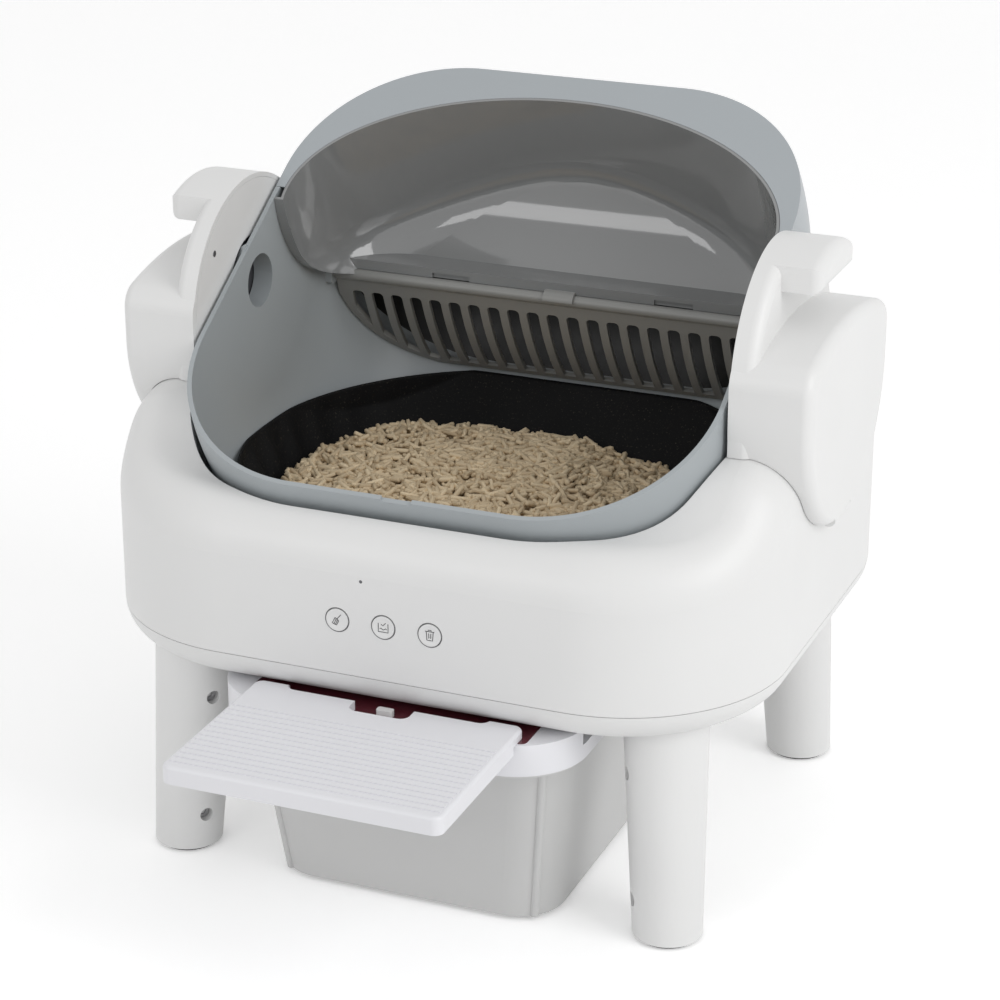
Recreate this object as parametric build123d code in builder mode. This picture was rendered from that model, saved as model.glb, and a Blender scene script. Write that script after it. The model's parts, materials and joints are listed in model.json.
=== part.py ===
"""Self-cleaning litter box: an open drum that turns between two side arms over a waste drawer.

Millimetres. +X is the right-hand side seen from the front, +Y points to the back and +Z up.
The origin is on the floor, in the middle of the footprint from the step's front edge to the back.
"""
import math
import os

from build123d import *

os.makedirs("parts", exist_ok=True)

# Base: a rounded tub in two shells on four legs
BODY_SIDE_BAND = 59
BODY_END_BAND = 9
BODY_CORNER = 140
BODY_BOTTOM = 190
BODY_SEAM = 217
BODY_WALL = 3
FRONT_DROP = 104
SHOULDER_DROP = 58
FRONT_SHELF = 46
SHOULDER_RUN = 108
TOP_ROUND = 42
BOTTOM_ROUND = 30
SEAM_GAP = 0.6

# Drum: a body of revolution about a cross axis, cut open by one tilted plane
DRUM_RADIUS = 242
DRUM_HALF_WIDTH = 231
DRUM_FLOOR_LIFT = 18
DRUM_CORNER = 0.566 * DRUM_RADIUS
DRUM_WALL = 4
DRUM_GAP = 6
OPENING_TILT = 31
OPENING_LIFT = 0.165 * DRUM_RADIUS
HOOD_START = 0.306 * DRUM_RADIUS
HOOD_PITCH = 32
HOOD_SEAM_GAP = 0.4
FLANGE_THICKNESS = 3
LIP_NOTCH_WIDTH = 26
LIP_NOTCH_DEPTH = 2

# Inner panel of the hood: a barrel with an oval mouth, trimmed in front by a scoop
PANEL_WALL = 2.5
PANEL_SIDE = 9
MOUTH_RUN = 0.566 * DRUM_RADIUS
MOUTH_START = 0.165 * DRUM_RADIUS
DOME_ROUND = 0.165 * DRUM_RADIUS
BARREL_RADIUS = 0.413 * DRUM_RADIUS
BARREL_BACK = 0.43 * DRUM_RADIUS
BARREL_RISE = 0.248 * DRUM_RADIUS
SCOOP_RADIUS = 0.488 * DRUM_RADIUS
SCOOP_BACK = 0.603 * DRUM_RADIUS
SCOOP_RISE = 0.368 * DRUM_RADIUS
SILL_HEIGHT = 9
SILL_SLOT_LENGTH = 36
SILL_SLOT_SPACING = 210

# Sieve grate behind the bowl
GRATE_HINGE_BACK = 0.55 * DRUM_RADIUS
GRATE_HINGE_DROP = 0.124 * DRUM_RADIUS
GRATE_FOOT_BACK = 0.789 * DRUM_RADIUS
GRATE_FOOT_DROP = 0.508 * DRUM_RADIUS
GRATE_BOW = 7
GRATE_THICKNESS = 4
GRATE_GAP = 2.5
GRATE_SLOTS = 22
GRATE_PITCH = 18.9
GRATE_SLOT_WIDTH = 11.5
GRATE_SLOT_ROUND = 4
GRATE_HEAD = 16
GRATE_FRAME = 7
GRATE_TUBE = 5.5
ROD_RADIUS = 3
ROD_LUG = 9
CLIP_HALF_WIDTH = 14
CLIP_WALL = 2.5

# Liner and litter
LINER_WALL = 2
LINER_RIM_DROP = 0.541 * DRUM_RADIUS
LINER_BEAD = 2.5
LINER_BEAD_HEIGHT = 5
LITTER_DROP = 0.686 * DRUM_RADIUS
LAYER_GAP = 0.4

# Hexagonal taper that couples the drum to the arms
TAPER_FLAT = 37
TAPER_LENGTH = 14
TAPER_ANGLE = 33
TAPER_HOLE = 23.5
TAPER_CLEARANCE = 0.5

# Side arms
ARM_DRUM_GAP = 3.5
ARM_GAP = 0.6
ARM_WALL = 3
FIN_RADIUS = 110
BULGE_RADIUS = 111
FIN_DROP = 17.5
FIN_THICKNESS = 20
BULGE_DROP = 30
BULGE_CROWN = 33
BULGE_SHOULDER = 14
BULGE_ROUND = 9
BULGE_CORNER = 22
ARM_SIDE_WALL = 9
FIN_ROUND = 9
FIN_ROOT = 20
HANDLE_REACH = 54
HANDLE_HALF_WIDTH = 46
HANDLE_THICKNESS = 31
HANDLE_ROUND = 10
PLATE_THICKNESS = 2.5
PLATE_INSET = 4
PLATE_CLEARANCE = 0.2
KNUCKLE_RADIUS = 6
KNUCKLE_HALF_LENGTH = 30
PIVOT_DROP = 132
LUG_HALF_WIDTH = 13
LUG_CLEARANCE = 0.4
PIN_RADIUS = 2.5
ARM_SCREW_TOP = (68, 42)
ARM_SCREW_LOW = (86, -30)

# Drive inside the right arm and the idler inside the left arm
GEAR_MODULE = 1.5
GEAR_TEETH = 64
PINION_TEETH = 20
GEAR_WIDTH = 8
GEAR_BACKLASH = 0.5
GEAR_ROOT_DEPTH = 1.25
GEAR_FLANK_ANGLE = 20
HUB_GAP = 1
HUB_RADIUS = 38
HUB_BARREL_WALL = 6
HUB_WEB = 4
BUSH_LENGTH = 18
BUSH_RADIUS = 20
SPIGOT_RADIUS = 16
RUNNING_CLEARANCE = 0.05
MOTOR_RADIUS = 18
MOTOR_NOSE = 12
MOTOR_NOSE_LENGTH = 9
MOTOR_GAP = 1.5
SHAFT_RADIUS = 3
CRADLE_WALL = 3
CRADLE_CLEARANCE = 0.3

# Legs
LEG_INSET = 80
LEG_SPLAY_X = 9
LEG_SPLAY_Y = 12
LEG_FOOT_RADIUS = 29
LEG_TOP_RADIUS = 35
LEG_WALL = 4
LEG_SOCKET = 12
LEG_CLEARANCE = 0.3
PAD_THICKNESS = 3
PAD_RADIUS = 25
LEG_HOLE_RADIUS = 6
LEG_HOLE_DEPTH = 9
LEG_HOLE_HEIGHTS = (34, 144)
LEG_HOLE_TURN = 55

# Front controls
BUTTON_PITCH = 40
BUTTON_HEIGHT = 264
BUTTON_RADIUS = 9.5
BUTTON_CLEARANCE = 0.4
BUTTON_PROUD = 0.6
BUTTON_DISH = 0.8
BUTTON_STEM = 8
BUTTON_TRAVEL = 1.5
BOARD_WIDTH = 132
BOARD_HEIGHT = 46
BOARD_POST_INSET = 9
BOARD_THICKNESS = 1.6
SWITCH_SIZE = 6
LIGHT_X = -19
LIGHT_RISE = 36
LIGHT_RADIUS = 1.4
INLET_X = -70
INLET_HEIGHT = 245
INLET_RADIUS = 5.5
INLET_DEPTH = 14
INLET_FLANGE = 9

# Chute, runners and waste drawer
CHUTE_HALF_WIDTH = 104
CHUTE_HALF_DEPTH = 98
DRAWER_GAP = 3
COLLAR_HALF_WIDTH = 156
COLLAR_PROUD = 15
COLLAR_BACK = 150
COLLAR_CORNER = 60
COLLAR_HEIGHT = 27
COLLAR_WALL = 10
COLLAR_DECK = 7
COLLAR_INNER_WALL = 3
COLLAR_FLANGE = 8
MOUTH_HALF_WIDTH = 117
MOUTH_INSET = 41
MOUTH_BACK = 125
GROOVE_DEPTH = 6
RUNNER_INSET = 96
RUNNER_LIP = 3
RUNNER_CLEARANCE = 0.3
NOTCH_INSET = 37
NOTCH_LENGTH = 52
NOTCH_DEPTH = 14
BIN_FLOOR_HEIGHT = 4
BIN_FOOT_INSET = 31
BIN_TOP_INSET = 15
BIN_FOOT_SETBACK = 38
BIN_TOP_SETBACK = 15
BIN_BACK_INSET = 6
BIN_CORNER = 40
BIN_WALL = 2.5
BIN_RIM = 3
BIN_BEAD = 3.5
BIN_BEAD_ANGLE = 40
BIN_GUSSET_X = 62
BIN_GUSSET_DROP = 26
BIN_GUSSET_WIDTH = 4
RING_FLANGE = 3
RING_LEDGE = 6
RING_PROUD = 7
RING_OPENING_INSET = 9
RING_SKIRT = 20
RING_WALL = 2.5
RING_CLEARANCE = 0.3

# Step in front of the drawer
STEP_OVERHANG = 160
STEP_HALF_WIDTH = 117
STEP_TUCK = 9
STEP_PLATE = 8
STEP_ROUND = 3
STEP_SKIRT = 15
STEP_WALL = 3
STEP_CORNER = 8
STEP_RIBS = 14
STEP_RIB_INSET = 4
STEP_RIB_PITCH = 8.2
STEP_RIB_WIDTH = 4.5
STEP_RIB_HEIGHT = 0.7
STEP_RIB_START = 12
STEP_SCALLOP_HALF_WIDTH = 88
STEP_SCALLOP_DEPTH = 9
STEP_SCALLOP_CORNER = 8
STEP_NOTCH_HALF_WIDTH = 26
STEP_NOTCH_DEPTH = 26
STEP_SEAT_GAP = 0.3
TONGUE_OFFSET = 70
TONGUE_WIDTH = 24
TONGUE_THICKNESS = 5
TONGUE_REACH = 36
TONGUE_DROP = 16
TONGUE_CLEARANCE = 0.4
LATCH_WIDTH = 14
LATCH_DEPTH = 7
LATCH_PROUD = 5
LATCH_SETBACK = 1
LATCH_BASE = 2
LATCH_CLEARANCE = 0.4

# Fasteners
SCREW_RADIUS = 1.5
SCREW_HEAD_RADIUS = 2.8
SCREW_HEAD_HEIGHT = 1.8
SCREW_LENGTH = 12
SCREW_THREAD = 9
SCREW_PAD = 16
SCREW_PAD_REACH = 44
SHELL_SCREW_X = 120
SHELL_SCREW_INSET = 36

# Values that follow from the sizes above
BODY_HALF_WIDTH = DRUM_HALF_WIDTH + BODY_SIDE_BAND
BODY_HALF_DEPTH = DRUM_RADIUS + BODY_END_BAND
AXIS_HEIGHT = BODY_BOTTOM + DRUM_FLOOR_LIFT + DRUM_RADIUS
FRONT_TOP = AXIS_HEIGHT - FRONT_DROP
SHOULDER_TOP = AXIS_HEIGHT - SHOULDER_DROP
PIVOT_HEIGHT = AXIS_HEIGHT - PIVOT_DROP
LINER_RIM = AXIS_HEIGHT - LINER_RIM_DROP
LITTER_TOP = AXIS_HEIGHT - LITTER_DROP
ARM_INNER = DRUM_HALF_WIDTH + ARM_DRUM_GAP
LEG_TOP_X = BODY_HALF_WIDTH - LEG_INSET
LEG_TOP_Y = BODY_HALF_DEPTH - LEG_INSET
COLLAR_FRONT = BODY_HALF_DEPTH + COLLAR_PROUD
RING_FRONT = BODY_HALF_DEPTH + RING_PROUD
MOUTH_FRONT = BODY_HALF_DEPTH - MOUTH_INSET
RUNNER_START = BODY_HALF_DEPTH - RUNNER_INSET
NOTCH_START = BODY_HALF_DEPTH - NOTCH_INSET
STEP_REAR = BODY_HALF_DEPTH - STEP_TUCK
LATCH_BEHIND = BODY_HALF_DEPTH - LATCH_SETBACK
BODY_Y = STEP_OVERHANG / 2
FRONT_Y = BODY_Y - BODY_HALF_DEPTH
PIVOT_X = BODY_HALF_WIDTH + ARM_GAP + KNUCKLE_RADIUS
ARM_OUTER = PIVOT_X + KNUCKLE_RADIUS
LUG_ROOT = KNUCKLE_RADIUS + ARM_GAP + BODY_WALL / 2
COLLAR_TOP = BODY_BOTTOM - DRAWER_GAP
COLLAR_BASE = COLLAR_TOP - COLLAR_HEIGHT
STEP_TOP = COLLAR_TOP + STEP_SEAT_GAP + STEP_PLATE
STEP_FRONT = BODY_HALF_DEPTH + STEP_OVERHANG
HUB_FACE = ARM_INNER + PLATE_THICKNESS + HUB_GAP
SOCKET_FLOOR = DRUM_HALF_WIDTH + TAPER_LENGTH + HUB_GAP
BORE_START = SOCKET_FLOOR + HUB_WEB
ARM_INSIDE = ARM_OUTER - ARM_WALL
GEAR_CENTRES = GEAR_MODULE * (GEAR_TEETH + PINION_TEETH) / 2
TILT = math.radians(OPENING_TILT)
DRUM_AXIS = Axis((0, BODY_Y, AXIS_HEIGHT), (1, 0, 0))
SIDES = {"left": -1, "right": 1}


def level(height):
    """Horizontal plane over the middle of the base."""
    return Plane(origin=(0, BODY_Y, height))


def across(x):
    """Upright plane square to the drum axis; its origin is on the axis, local x points to the back."""
    return Plane(origin=(x, BODY_Y, AXIS_HEIGHT), x_dir=(0, 1, 0), z_dir=(1, 0, 0))


def facing(y):
    """Upright plane that faces the front at distance y behind the body's centre."""
    return Plane(origin=(0, BODY_Y + y, 0), x_dir=(1, 0, 0), z_dir=(0, -1, 0))


OPENING = Plane(
    origin=(0, BODY_Y - OPENING_LIFT * math.sin(TILT), AXIS_HEIGHT + OPENING_LIFT * math.cos(TILT)),
    x_dir=(1, 0, 0),
    z_dir=(0, -math.sin(TILT), math.cos(TILT)),
)
HOOD_SEAM = Plane(
    origin=OPENING.from_local_coords((0, HOOD_START, 0)),
    x_dir=(1, 0, 0),
    z_dir=(0, math.sin(math.radians(HOOD_PITCH)), math.cos(math.radians(HOOD_PITCH))),
)


def body_form(grow):
    """Closed outer form of the base, every face moved outwards by grow."""
    rim = FRONT_TOP + grow
    shoulder = SHOULDER_TOP + grow
    rise_start = FRONT_SHELF - BODY_HALF_DEPTH
    rise_end = rise_start + SHOULDER_RUN
    far = 2 * BODY_HALF_DEPTH
    with BuildPart(mode=Mode.PRIVATE) as form:
        with BuildSketch(level(BODY_BOTTOM - grow)):
            RectangleRounded(2 * (BODY_HALF_WIDTH + grow), 2 * (BODY_HALF_DEPTH + grow), BODY_CORNER + grow)
        extrude(amount=shoulder - BODY_BOTTOM + grow)
        with BuildSketch(Plane(origin=(0, BODY_Y, 0), x_dir=(0, 1, 0), z_dir=(1, 0, 0))):
            with BuildLine():
                Line((-far, rim), (rise_start, rim))
                dip = TangentArc(
                    (rise_start, rim), ((rise_start + rise_end) / 2, (rim + shoulder) / 2), tangent=(1, 0)
                )
                crest = TangentArc(dip @ 1, (rise_end, shoulder), tangent=dip % 1)
                Polyline(crest @ 1, (rise_end, 2 * shoulder), (-far, 2 * shoulder), (-far, rim))
            make_face()
        extrude(amount=2 * BODY_HALF_WIDTH, both=True, mode=Mode.SUBTRACT)
        walls = form.faces().filter_by(lambda face: abs(face.normal_at().Z) < 0.01)
        edges = ShapeList(edge for wall in walls for edge in wall.edges())
        level_edges = edges.filter_by(lambda edge: edge.bounding_box().size.Z < BODY_CORNER * 0.8)
        top = level_edges.filter_by(lambda edge: edge.center().Z > BODY_SEAM)
        bottom = level_edges.filter_by(lambda edge: edge.center().Z < BODY_SEAM)
        fillet(top, TOP_ROUND + grow)
        fillet(bottom, BOTTOM_ROUND + grow)
    return form.part


def drum_form(grow, side_grow=None):
    """Solid of revolution inside the drum's skin, moved outwards by grow (side_grow at its ends)."""
    half = DRUM_HALF_WIDTH + (grow if side_grow is None else side_grow)
    radius = DRUM_RADIUS + grow
    corner = DRUM_CORNER + grow
    with BuildPart(mode=Mode.PRIVATE) as form:
        with BuildSketch(Plane(origin=(0, BODY_Y, AXIS_HEIGHT), x_dir=(1, 0, 0), z_dir=(0, -1, 0))):
            with BuildLine():
                Line((-half, 0), (-half, radius - corner))
                RadiusArc((-half, radius - corner), (corner - half, radius), corner)
                Line((corner - half, radius), (half - corner, radius))
                RadiusArc((half - corner, radius), (half, radius - corner), corner)
                Polyline((half, radius - corner), (half, 0), (-half, 0))
            make_face()
        revolve(axis=DRUM_AXIS)
    return form.part


def cross_cylinder(back, rise, radius, half_length):
    """Cylinder along X, placed behind and above the drum axis."""
    with BuildPart(mode=Mode.PRIVATE) as form:
        with BuildSketch(across(-half_length)):
            with Locations((back, rise)):
                Circle(radius)
        extrude(amount=2 * half_length)
    return form.part


body_outer = body_form(0)
body_inner = body_form(-BODY_WALL)
drum_outer = drum_form(0)
drum_inner = drum_form(-DRUM_WALL)
drum_cavity = drum_form(DRUM_GAP, ARM_INNER - DRUM_HALF_WIDTH)
drum_skirt = drum_form(DRUM_GAP + BODY_WALL, ARM_INNER - DRUM_HALF_WIDTH + BODY_WALL)


def leg_ring(corner_x, corner_y, height):
    """Centre and radius of a leg at a height, seen from the body's centre."""
    share = (height - PAD_THICKNESS) / (BODY_BOTTOM - PAD_THICKNESS)
    centre_x = corner_x * (LEG_TOP_X + (1 - share) * LEG_SPLAY_X)
    centre_y = corner_y * (LEG_TOP_Y + (1 - share) * LEG_SPLAY_Y)
    return centre_x, centre_y, LEG_FOOT_RADIUS + share * (LEG_TOP_RADIUS - LEG_FOOT_RADIUS)


def leg_form(corner_x, corner_y, grow, bottom, top):
    """Tapered, slightly splayed leg between two heights, its side moved outwards by grow."""

    with BuildPart(mode=Mode.PRIVATE) as form:
        for height in (bottom, top):
            centre_x, centre_y, radius = leg_ring(corner_x, corner_y, height)
            with BuildSketch(level(height)):
                with Locations((centre_x, centre_y)):
                    Circle(radius + grow)
        loft()
    return form.part


def leg_hole_plane(corner_x, corner_y, height):
    """Plane across a screw recess of a leg, at the recess's floor; it faces inwards and to the near end."""
    centre_x, centre_y, radius = leg_ring(corner_x, corner_y, height)
    turn = math.radians(LEG_HOLE_TURN)
    plane = Plane(
        origin=(centre_x, BODY_Y + centre_y, height),
        x_dir=(corner_y * math.cos(turn), corner_x * math.sin(turn), 0),
        z_dir=(-corner_x * math.sin(turn), corner_y * math.cos(turn), 0),
    )
    return plane.offset(radius - LEG_HOLE_DEPTH)


LEG_TOP = BODY_BOTTOM + LEG_SOCKET
CORNERS = {
    "front_left": (-1, -1),
    "front_right": (1, -1),
    "back_left": (-1, 1),
    "back_right": (1, 1),
}
SHELL_SCREWS = [
    (side * SHELL_SCREW_X, end * (BODY_HALF_DEPTH - SHELL_SCREW_INSET)) for side in (-1, 1) for end in (-1, 1)
]

# Both shells of the base start as one hollow tub with a skirt round the drum and a chute below it
with BuildPart(mode=Mode.PRIVATE) as skirt:
    add(drum_skirt)
    add(body_outer, mode=Mode.INTERSECT)

with BuildPart(mode=Mode.PRIVATE) as chute:
    with BuildSketch(level(BODY_BOTTOM)):
        Rectangle(2 * (CHUTE_HALF_WIDTH + BODY_WALL), 2 * (CHUTE_HALF_DEPTH + BODY_WALL))
    extrude(amount=AXIS_HEIGHT - BODY_BOTTOM)
    add(body_outer, mode=Mode.INTERSECT)

with BuildPart(mode=Mode.PRIVATE) as tub:
    add(body_outer)
    add(body_inner, mode=Mode.SUBTRACT)
    with BuildSketch(level(BODY_BOTTOM + BODY_WALL)):
        for screw_x, screw_y in SHELL_SCREWS:
            pad_middle = math.copysign(BODY_HALF_DEPTH - BODY_WALL - SCREW_PAD_REACH / 2, screw_y)
            with Locations((screw_x, pad_middle)):
                Rectangle(SCREW_PAD, SCREW_PAD_REACH)
    extrude(amount=BODY_SEAM - BODY_BOTTOM - BODY_WALL + 2 * SCREW_LENGTH)
    for corner_x, corner_y in CORNERS.values():
        add(leg_form(corner_x, corner_y, LEG_WALL, BODY_BOTTOM + BODY_WALL, LEG_TOP + BODY_WALL))
    add(body_outer, mode=Mode.INTERSECT)
    add(skirt.part)
    add(chute.part)
    add(drum_cavity, mode=Mode.SUBTRACT)
    with BuildSketch(level(BODY_BOTTOM - BODY_WALL)):
        Rectangle(2 * CHUTE_HALF_WIDTH, 2 * CHUTE_HALF_DEPTH)
    extrude(amount=AXIS_HEIGHT - BODY_BOTTOM, mode=Mode.SUBTRACT)

# Lower shell: tray with the leg sockets, the chute's mouth and the screw holes
with BuildPart() as lower_shell:
    add(tub.part)
    split(bisect_by=Plane.XY.offset(BODY_SEAM - SEAM_GAP / 2), keep=Keep.BOTTOM)
    for corner_x, corner_y in CORNERS.values():
        add(leg_form(corner_x, corner_y, LEG_CLEARANCE, 0, LEG_TOP), mode=Mode.SUBTRACT)
    with BuildSketch(level(BODY_BOTTOM - BODY_WALL)):
        with Locations(SHELL_SCREWS):
            Circle(SCREW_RADIUS)
    extrude(amount=BODY_SEAM - BODY_BOTTOM + BODY_WALL, mode=Mode.SUBTRACT)
    with BuildSketch(level(BODY_BOTTOM - BODY_WALL)):
        with Locations(SHELL_SCREWS):
            Circle(SCREW_HEAD_RADIUS + RUNNING_CLEARANCE)
    extrude(amount=BODY_SEAM - SCREW_LENGTH / 2 - BODY_BOTTOM + BODY_WALL, mode=Mode.SUBTRACT)
lower_shell.part.label = "lower_shell"
export_step(lower_shell.part, "parts/lower_shell.step")

# Upper shell: outer skin and drum skirt, with the button holes, board posts and arm hinge lugs
BOARD_FRONT = BODY_WALL + BUTTON_STEM + BUTTON_TRAVEL + SWITCH_SIZE
BOARD_CENTRE = BUTTON_HEIGHT + LIGHT_RISE / 2
BOARD_HOLES = [
    (side * (BOARD_WIDTH / 2 - BOARD_POST_INSET), BOARD_CENTRE + end * (BOARD_HEIGHT / 2 - BOARD_POST_INSET))
    for side in (-1, 1)
    for end in (-1, 1)
]
BUTTON_SPOTS = [(place * BUTTON_PITCH, BUTTON_HEIGHT) for place in (-1, 0, 1)]
LIGHT_SPOT = (LIGHT_X, BUTTON_HEIGHT + LIGHT_RISE)

with BuildPart() as upper_shell:
    add(tub.part)
    split(bisect_by=Plane.XY.offset(BODY_SEAM + SEAM_GAP / 2), keep=Keep.TOP)
    with BuildSketch(facing(-BODY_HALF_DEPTH + BODY_WALL)):
        with Locations(BOARD_HOLES):
            Circle(2 * SCREW_RADIUS)
    extrude(amount=BODY_WALL - BOARD_FRONT)
    with BuildSketch(facing(-BODY_HALF_DEPTH + BODY_WALL)):
        with Locations(BOARD_HOLES):
            Circle(SCREW_RADIUS)
    extrude(amount=BODY_WALL - BOARD_FRONT, mode=Mode.SUBTRACT)
    with BuildSketch(facing(-BODY_HALF_DEPTH - BODY_WALL)):
        with Locations(BUTTON_SPOTS):
            Circle(BUTTON_RADIUS + BUTTON_CLEARANCE)
        with Locations(LIGHT_SPOT):
            Circle(LIGHT_RADIUS + RUNNING_CLEARANCE)
    extrude(amount=-3 * BODY_WALL, mode=Mode.SUBTRACT)
    with BuildSketch(facing(BODY_HALF_DEPTH + BODY_WALL)):
        with Locations((INLET_X, INLET_HEIGHT)):
            Circle(INLET_RADIUS + BODY_WALL + RUNNING_CLEARANCE)
    extrude(amount=3 * BODY_WALL, mode=Mode.SUBTRACT)
    with BuildSketch(level(BODY_SEAM)):
        with Locations(SHELL_SCREWS):
            Circle(SCREW_RADIUS)
    extrude(amount=SCREW_LENGTH, mode=Mode.SUBTRACT)
    for side in SIDES.values():
        with BuildSketch(facing(LUG_HALF_WIDTH)):
            with Locations((side * PIVOT_X, PIVOT_HEIGHT)):
                Circle(KNUCKLE_RADIUS)
            with Locations((side * (PIVOT_X - LUG_ROOT / 2), PIVOT_HEIGHT)):
                Rectangle(LUG_ROOT, 2 * KNUCKLE_RADIUS)
            with Locations((side * PIVOT_X, PIVOT_HEIGHT)):
                Circle(PIN_RADIUS + RUNNING_CLEARANCE, mode=Mode.SUBTRACT)
        extrude(amount=2 * LUG_HALF_WIDTH)
upper_shell.part.label = "upper_shell"
export_step(upper_shell.part, "parts/upper_shell.step")

with BuildPart() as shell_screws:
    with BuildSketch(level(BODY_SEAM - SCREW_LENGTH / 2)):
        with Locations(SHELL_SCREWS):
            Circle(SCREW_RADIUS - RUNNING_CLEARANCE)
    extrude(amount=SCREW_LENGTH)
    with BuildSketch(level(BODY_SEAM - SCREW_LENGTH / 2)):
        with Locations(SHELL_SCREWS):
            Circle(SCREW_HEAD_RADIUS)
    extrude(amount=-SCREW_HEAD_HEIGHT)
shell_screws.part.label = "shell_screws"
export_step(shell_screws.part, "parts/shell_screws.step")

# Four hollow legs with two recessed screw holes each, and their rubber pads
for name, (corner_x, corner_y) in CORNERS.items():
    with BuildPart() as leg:
        add(leg_form(corner_x, corner_y, 0, PAD_THICKNESS, LEG_TOP))
        add(leg_form(corner_x, corner_y, -LEG_WALL, 3 * LEG_WALL, LEG_TOP + LEG_WALL), mode=Mode.SUBTRACT)
        for height in LEG_HOLE_HEIGHTS:
            recess = leg_hole_plane(corner_x, corner_y, height)
            with BuildSketch(recess.offset(-LEG_WALL)):
                Circle(LEG_HOLE_RADIUS + LEG_WALL)
            extrude(amount=LEG_HOLE_DEPTH)
            with BuildSketch(recess):
                Circle(LEG_HOLE_RADIUS)
            extrude(amount=2 * LEG_HOLE_DEPTH, mode=Mode.SUBTRACT)
    leg.part.label = f"{name}_leg"
    export_step(leg.part, f"parts/{name}_leg.step")

with BuildPart() as foot_pads:
    with BuildSketch(level(0)):
        with GridLocations(2 * (LEG_TOP_X + LEG_SPLAY_X), 2 * (LEG_TOP_Y + LEG_SPLAY_Y), 2, 2):
            Circle(PAD_RADIUS)
    extrude(amount=PAD_THICKNESS)
foot_pads.part.label = "foot_pads"
export_step(foot_pads.part, "parts/foot_pads.step")

with BuildPart() as leg_screws:
    for corner_x, corner_y in CORNERS.values():
        for height in LEG_HOLE_HEIGHTS:
            with BuildSketch(leg_hole_plane(corner_x, corner_y, height)):
                Circle(LEG_HOLE_RADIUS - LEG_CLEARANCE)
                RegularPolygon(LEG_HOLE_RADIUS / 2, 6, mode=Mode.SUBTRACT)
            extrude(amount=SCREW_HEAD_HEIGHT)
leg_screws.part.label = "leg_screws"
export_step(leg_screws.part, "parts/leg_screws.step")

# Front controls: three caps, a board with one switch behind each cap, and an indicator light
BUTTON_NAMES = ("clean_button", "level_button", "empty_button")
BUTTON_BACK = BODY_WALL + BUTTON_STEM
for name, (spot_x, spot_z) in zip(BUTTON_NAMES, BUTTON_SPOTS):
    with BuildPart() as button:
        with BuildSketch(facing(-BODY_HALF_DEPTH - BUTTON_PROUD)):
            with Locations((spot_x, spot_z)):
                Circle(BUTTON_RADIUS)
        extrude(amount=-BUTTON_PROUD - BUTTON_BACK)
        with BuildSketch(facing(-BODY_HALF_DEPTH + BODY_WALL + RUNNING_CLEARANCE)):
            with Locations((spot_x, spot_z)):
                Circle(BUTTON_RADIUS + BODY_WALL)
        extrude(amount=RUNNING_CLEARANCE - BODY_WALL)
        dish_radius = (BUTTON_RADIUS**2 / BUTTON_DISH + BUTTON_DISH) / 2
        dish_y = FRONT_Y - BUTTON_PROUD + BUTTON_DISH - dish_radius
        with Locations((spot_x, dish_y, spot_z)):
            Sphere(dish_radius - BUTTON_DISH / 4, mode=Mode.SUBTRACT)
    button.part.label = name
    export_step(button.part, f"parts/{name}.step")

with BuildPart() as control_board:
    with BuildSketch(facing(-BODY_HALF_DEPTH + BOARD_FRONT)):
        with Locations((0, BOARD_CENTRE)):
            Rectangle(BOARD_WIDTH, BOARD_HEIGHT)
        with Locations(BOARD_HOLES):
            Circle(SCREW_RADIUS + RUNNING_CLEARANCE, mode=Mode.SUBTRACT)
    extrude(amount=-BOARD_THICKNESS)
control_board.part.label = "control_board"
export_step(control_board.part, "parts/control_board.step")

with BuildPart() as board_screws:
    with BuildSketch(facing(-BODY_HALF_DEPTH + BOARD_FRONT + BOARD_THICKNESS)):
        with Locations(BOARD_HOLES):
            Circle(SCREW_HEAD_RADIUS)
    extrude(amount=-SCREW_HEAD_HEIGHT)
    with BuildSketch(facing(-BODY_HALF_DEPTH + BOARD_FRONT + BOARD_THICKNESS)):
        with Locations(BOARD_HOLES):
            Circle(SCREW_RADIUS - RUNNING_CLEARANCE)
    extrude(amount=SCREW_THREAD)
board_screws.part.label = "board_screws"
export_step(board_screws.part, "parts/board_screws.step")

with BuildPart() as button_switches:
    with BuildSketch(facing(-BODY_HALF_DEPTH + BOARD_FRONT)):
        with Locations(BUTTON_SPOTS):
            RectangleRounded(SWITCH_SIZE, SWITCH_SIZE, SWITCH_SIZE / 6)
    extrude(amount=SWITCH_SIZE / 2)
    with BuildSketch(facing(-BODY_HALF_DEPTH + BOARD_FRONT - SWITCH_SIZE / 2)):
        with Locations(BUTTON_SPOTS):
            Circle(SWITCH_SIZE / 4)
    extrude(amount=SWITCH_SIZE / 2 - RUNNING_CLEARANCE)
button_switches.part.label = "button_switches"
export_step(button_switches.part, "parts/button_switches.step")

with BuildPart() as indicator_light:
    with BuildSketch(facing(-BODY_HALF_DEPTH + BOARD_FRONT)):
        with Locations(LIGHT_SPOT):
            Circle(LIGHT_RADIUS)
    extrude(amount=BOARD_FRONT)
indicator_light.part.label = "indicator_light"
export_step(indicator_light.part, "parts/indicator_light.step")

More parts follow.
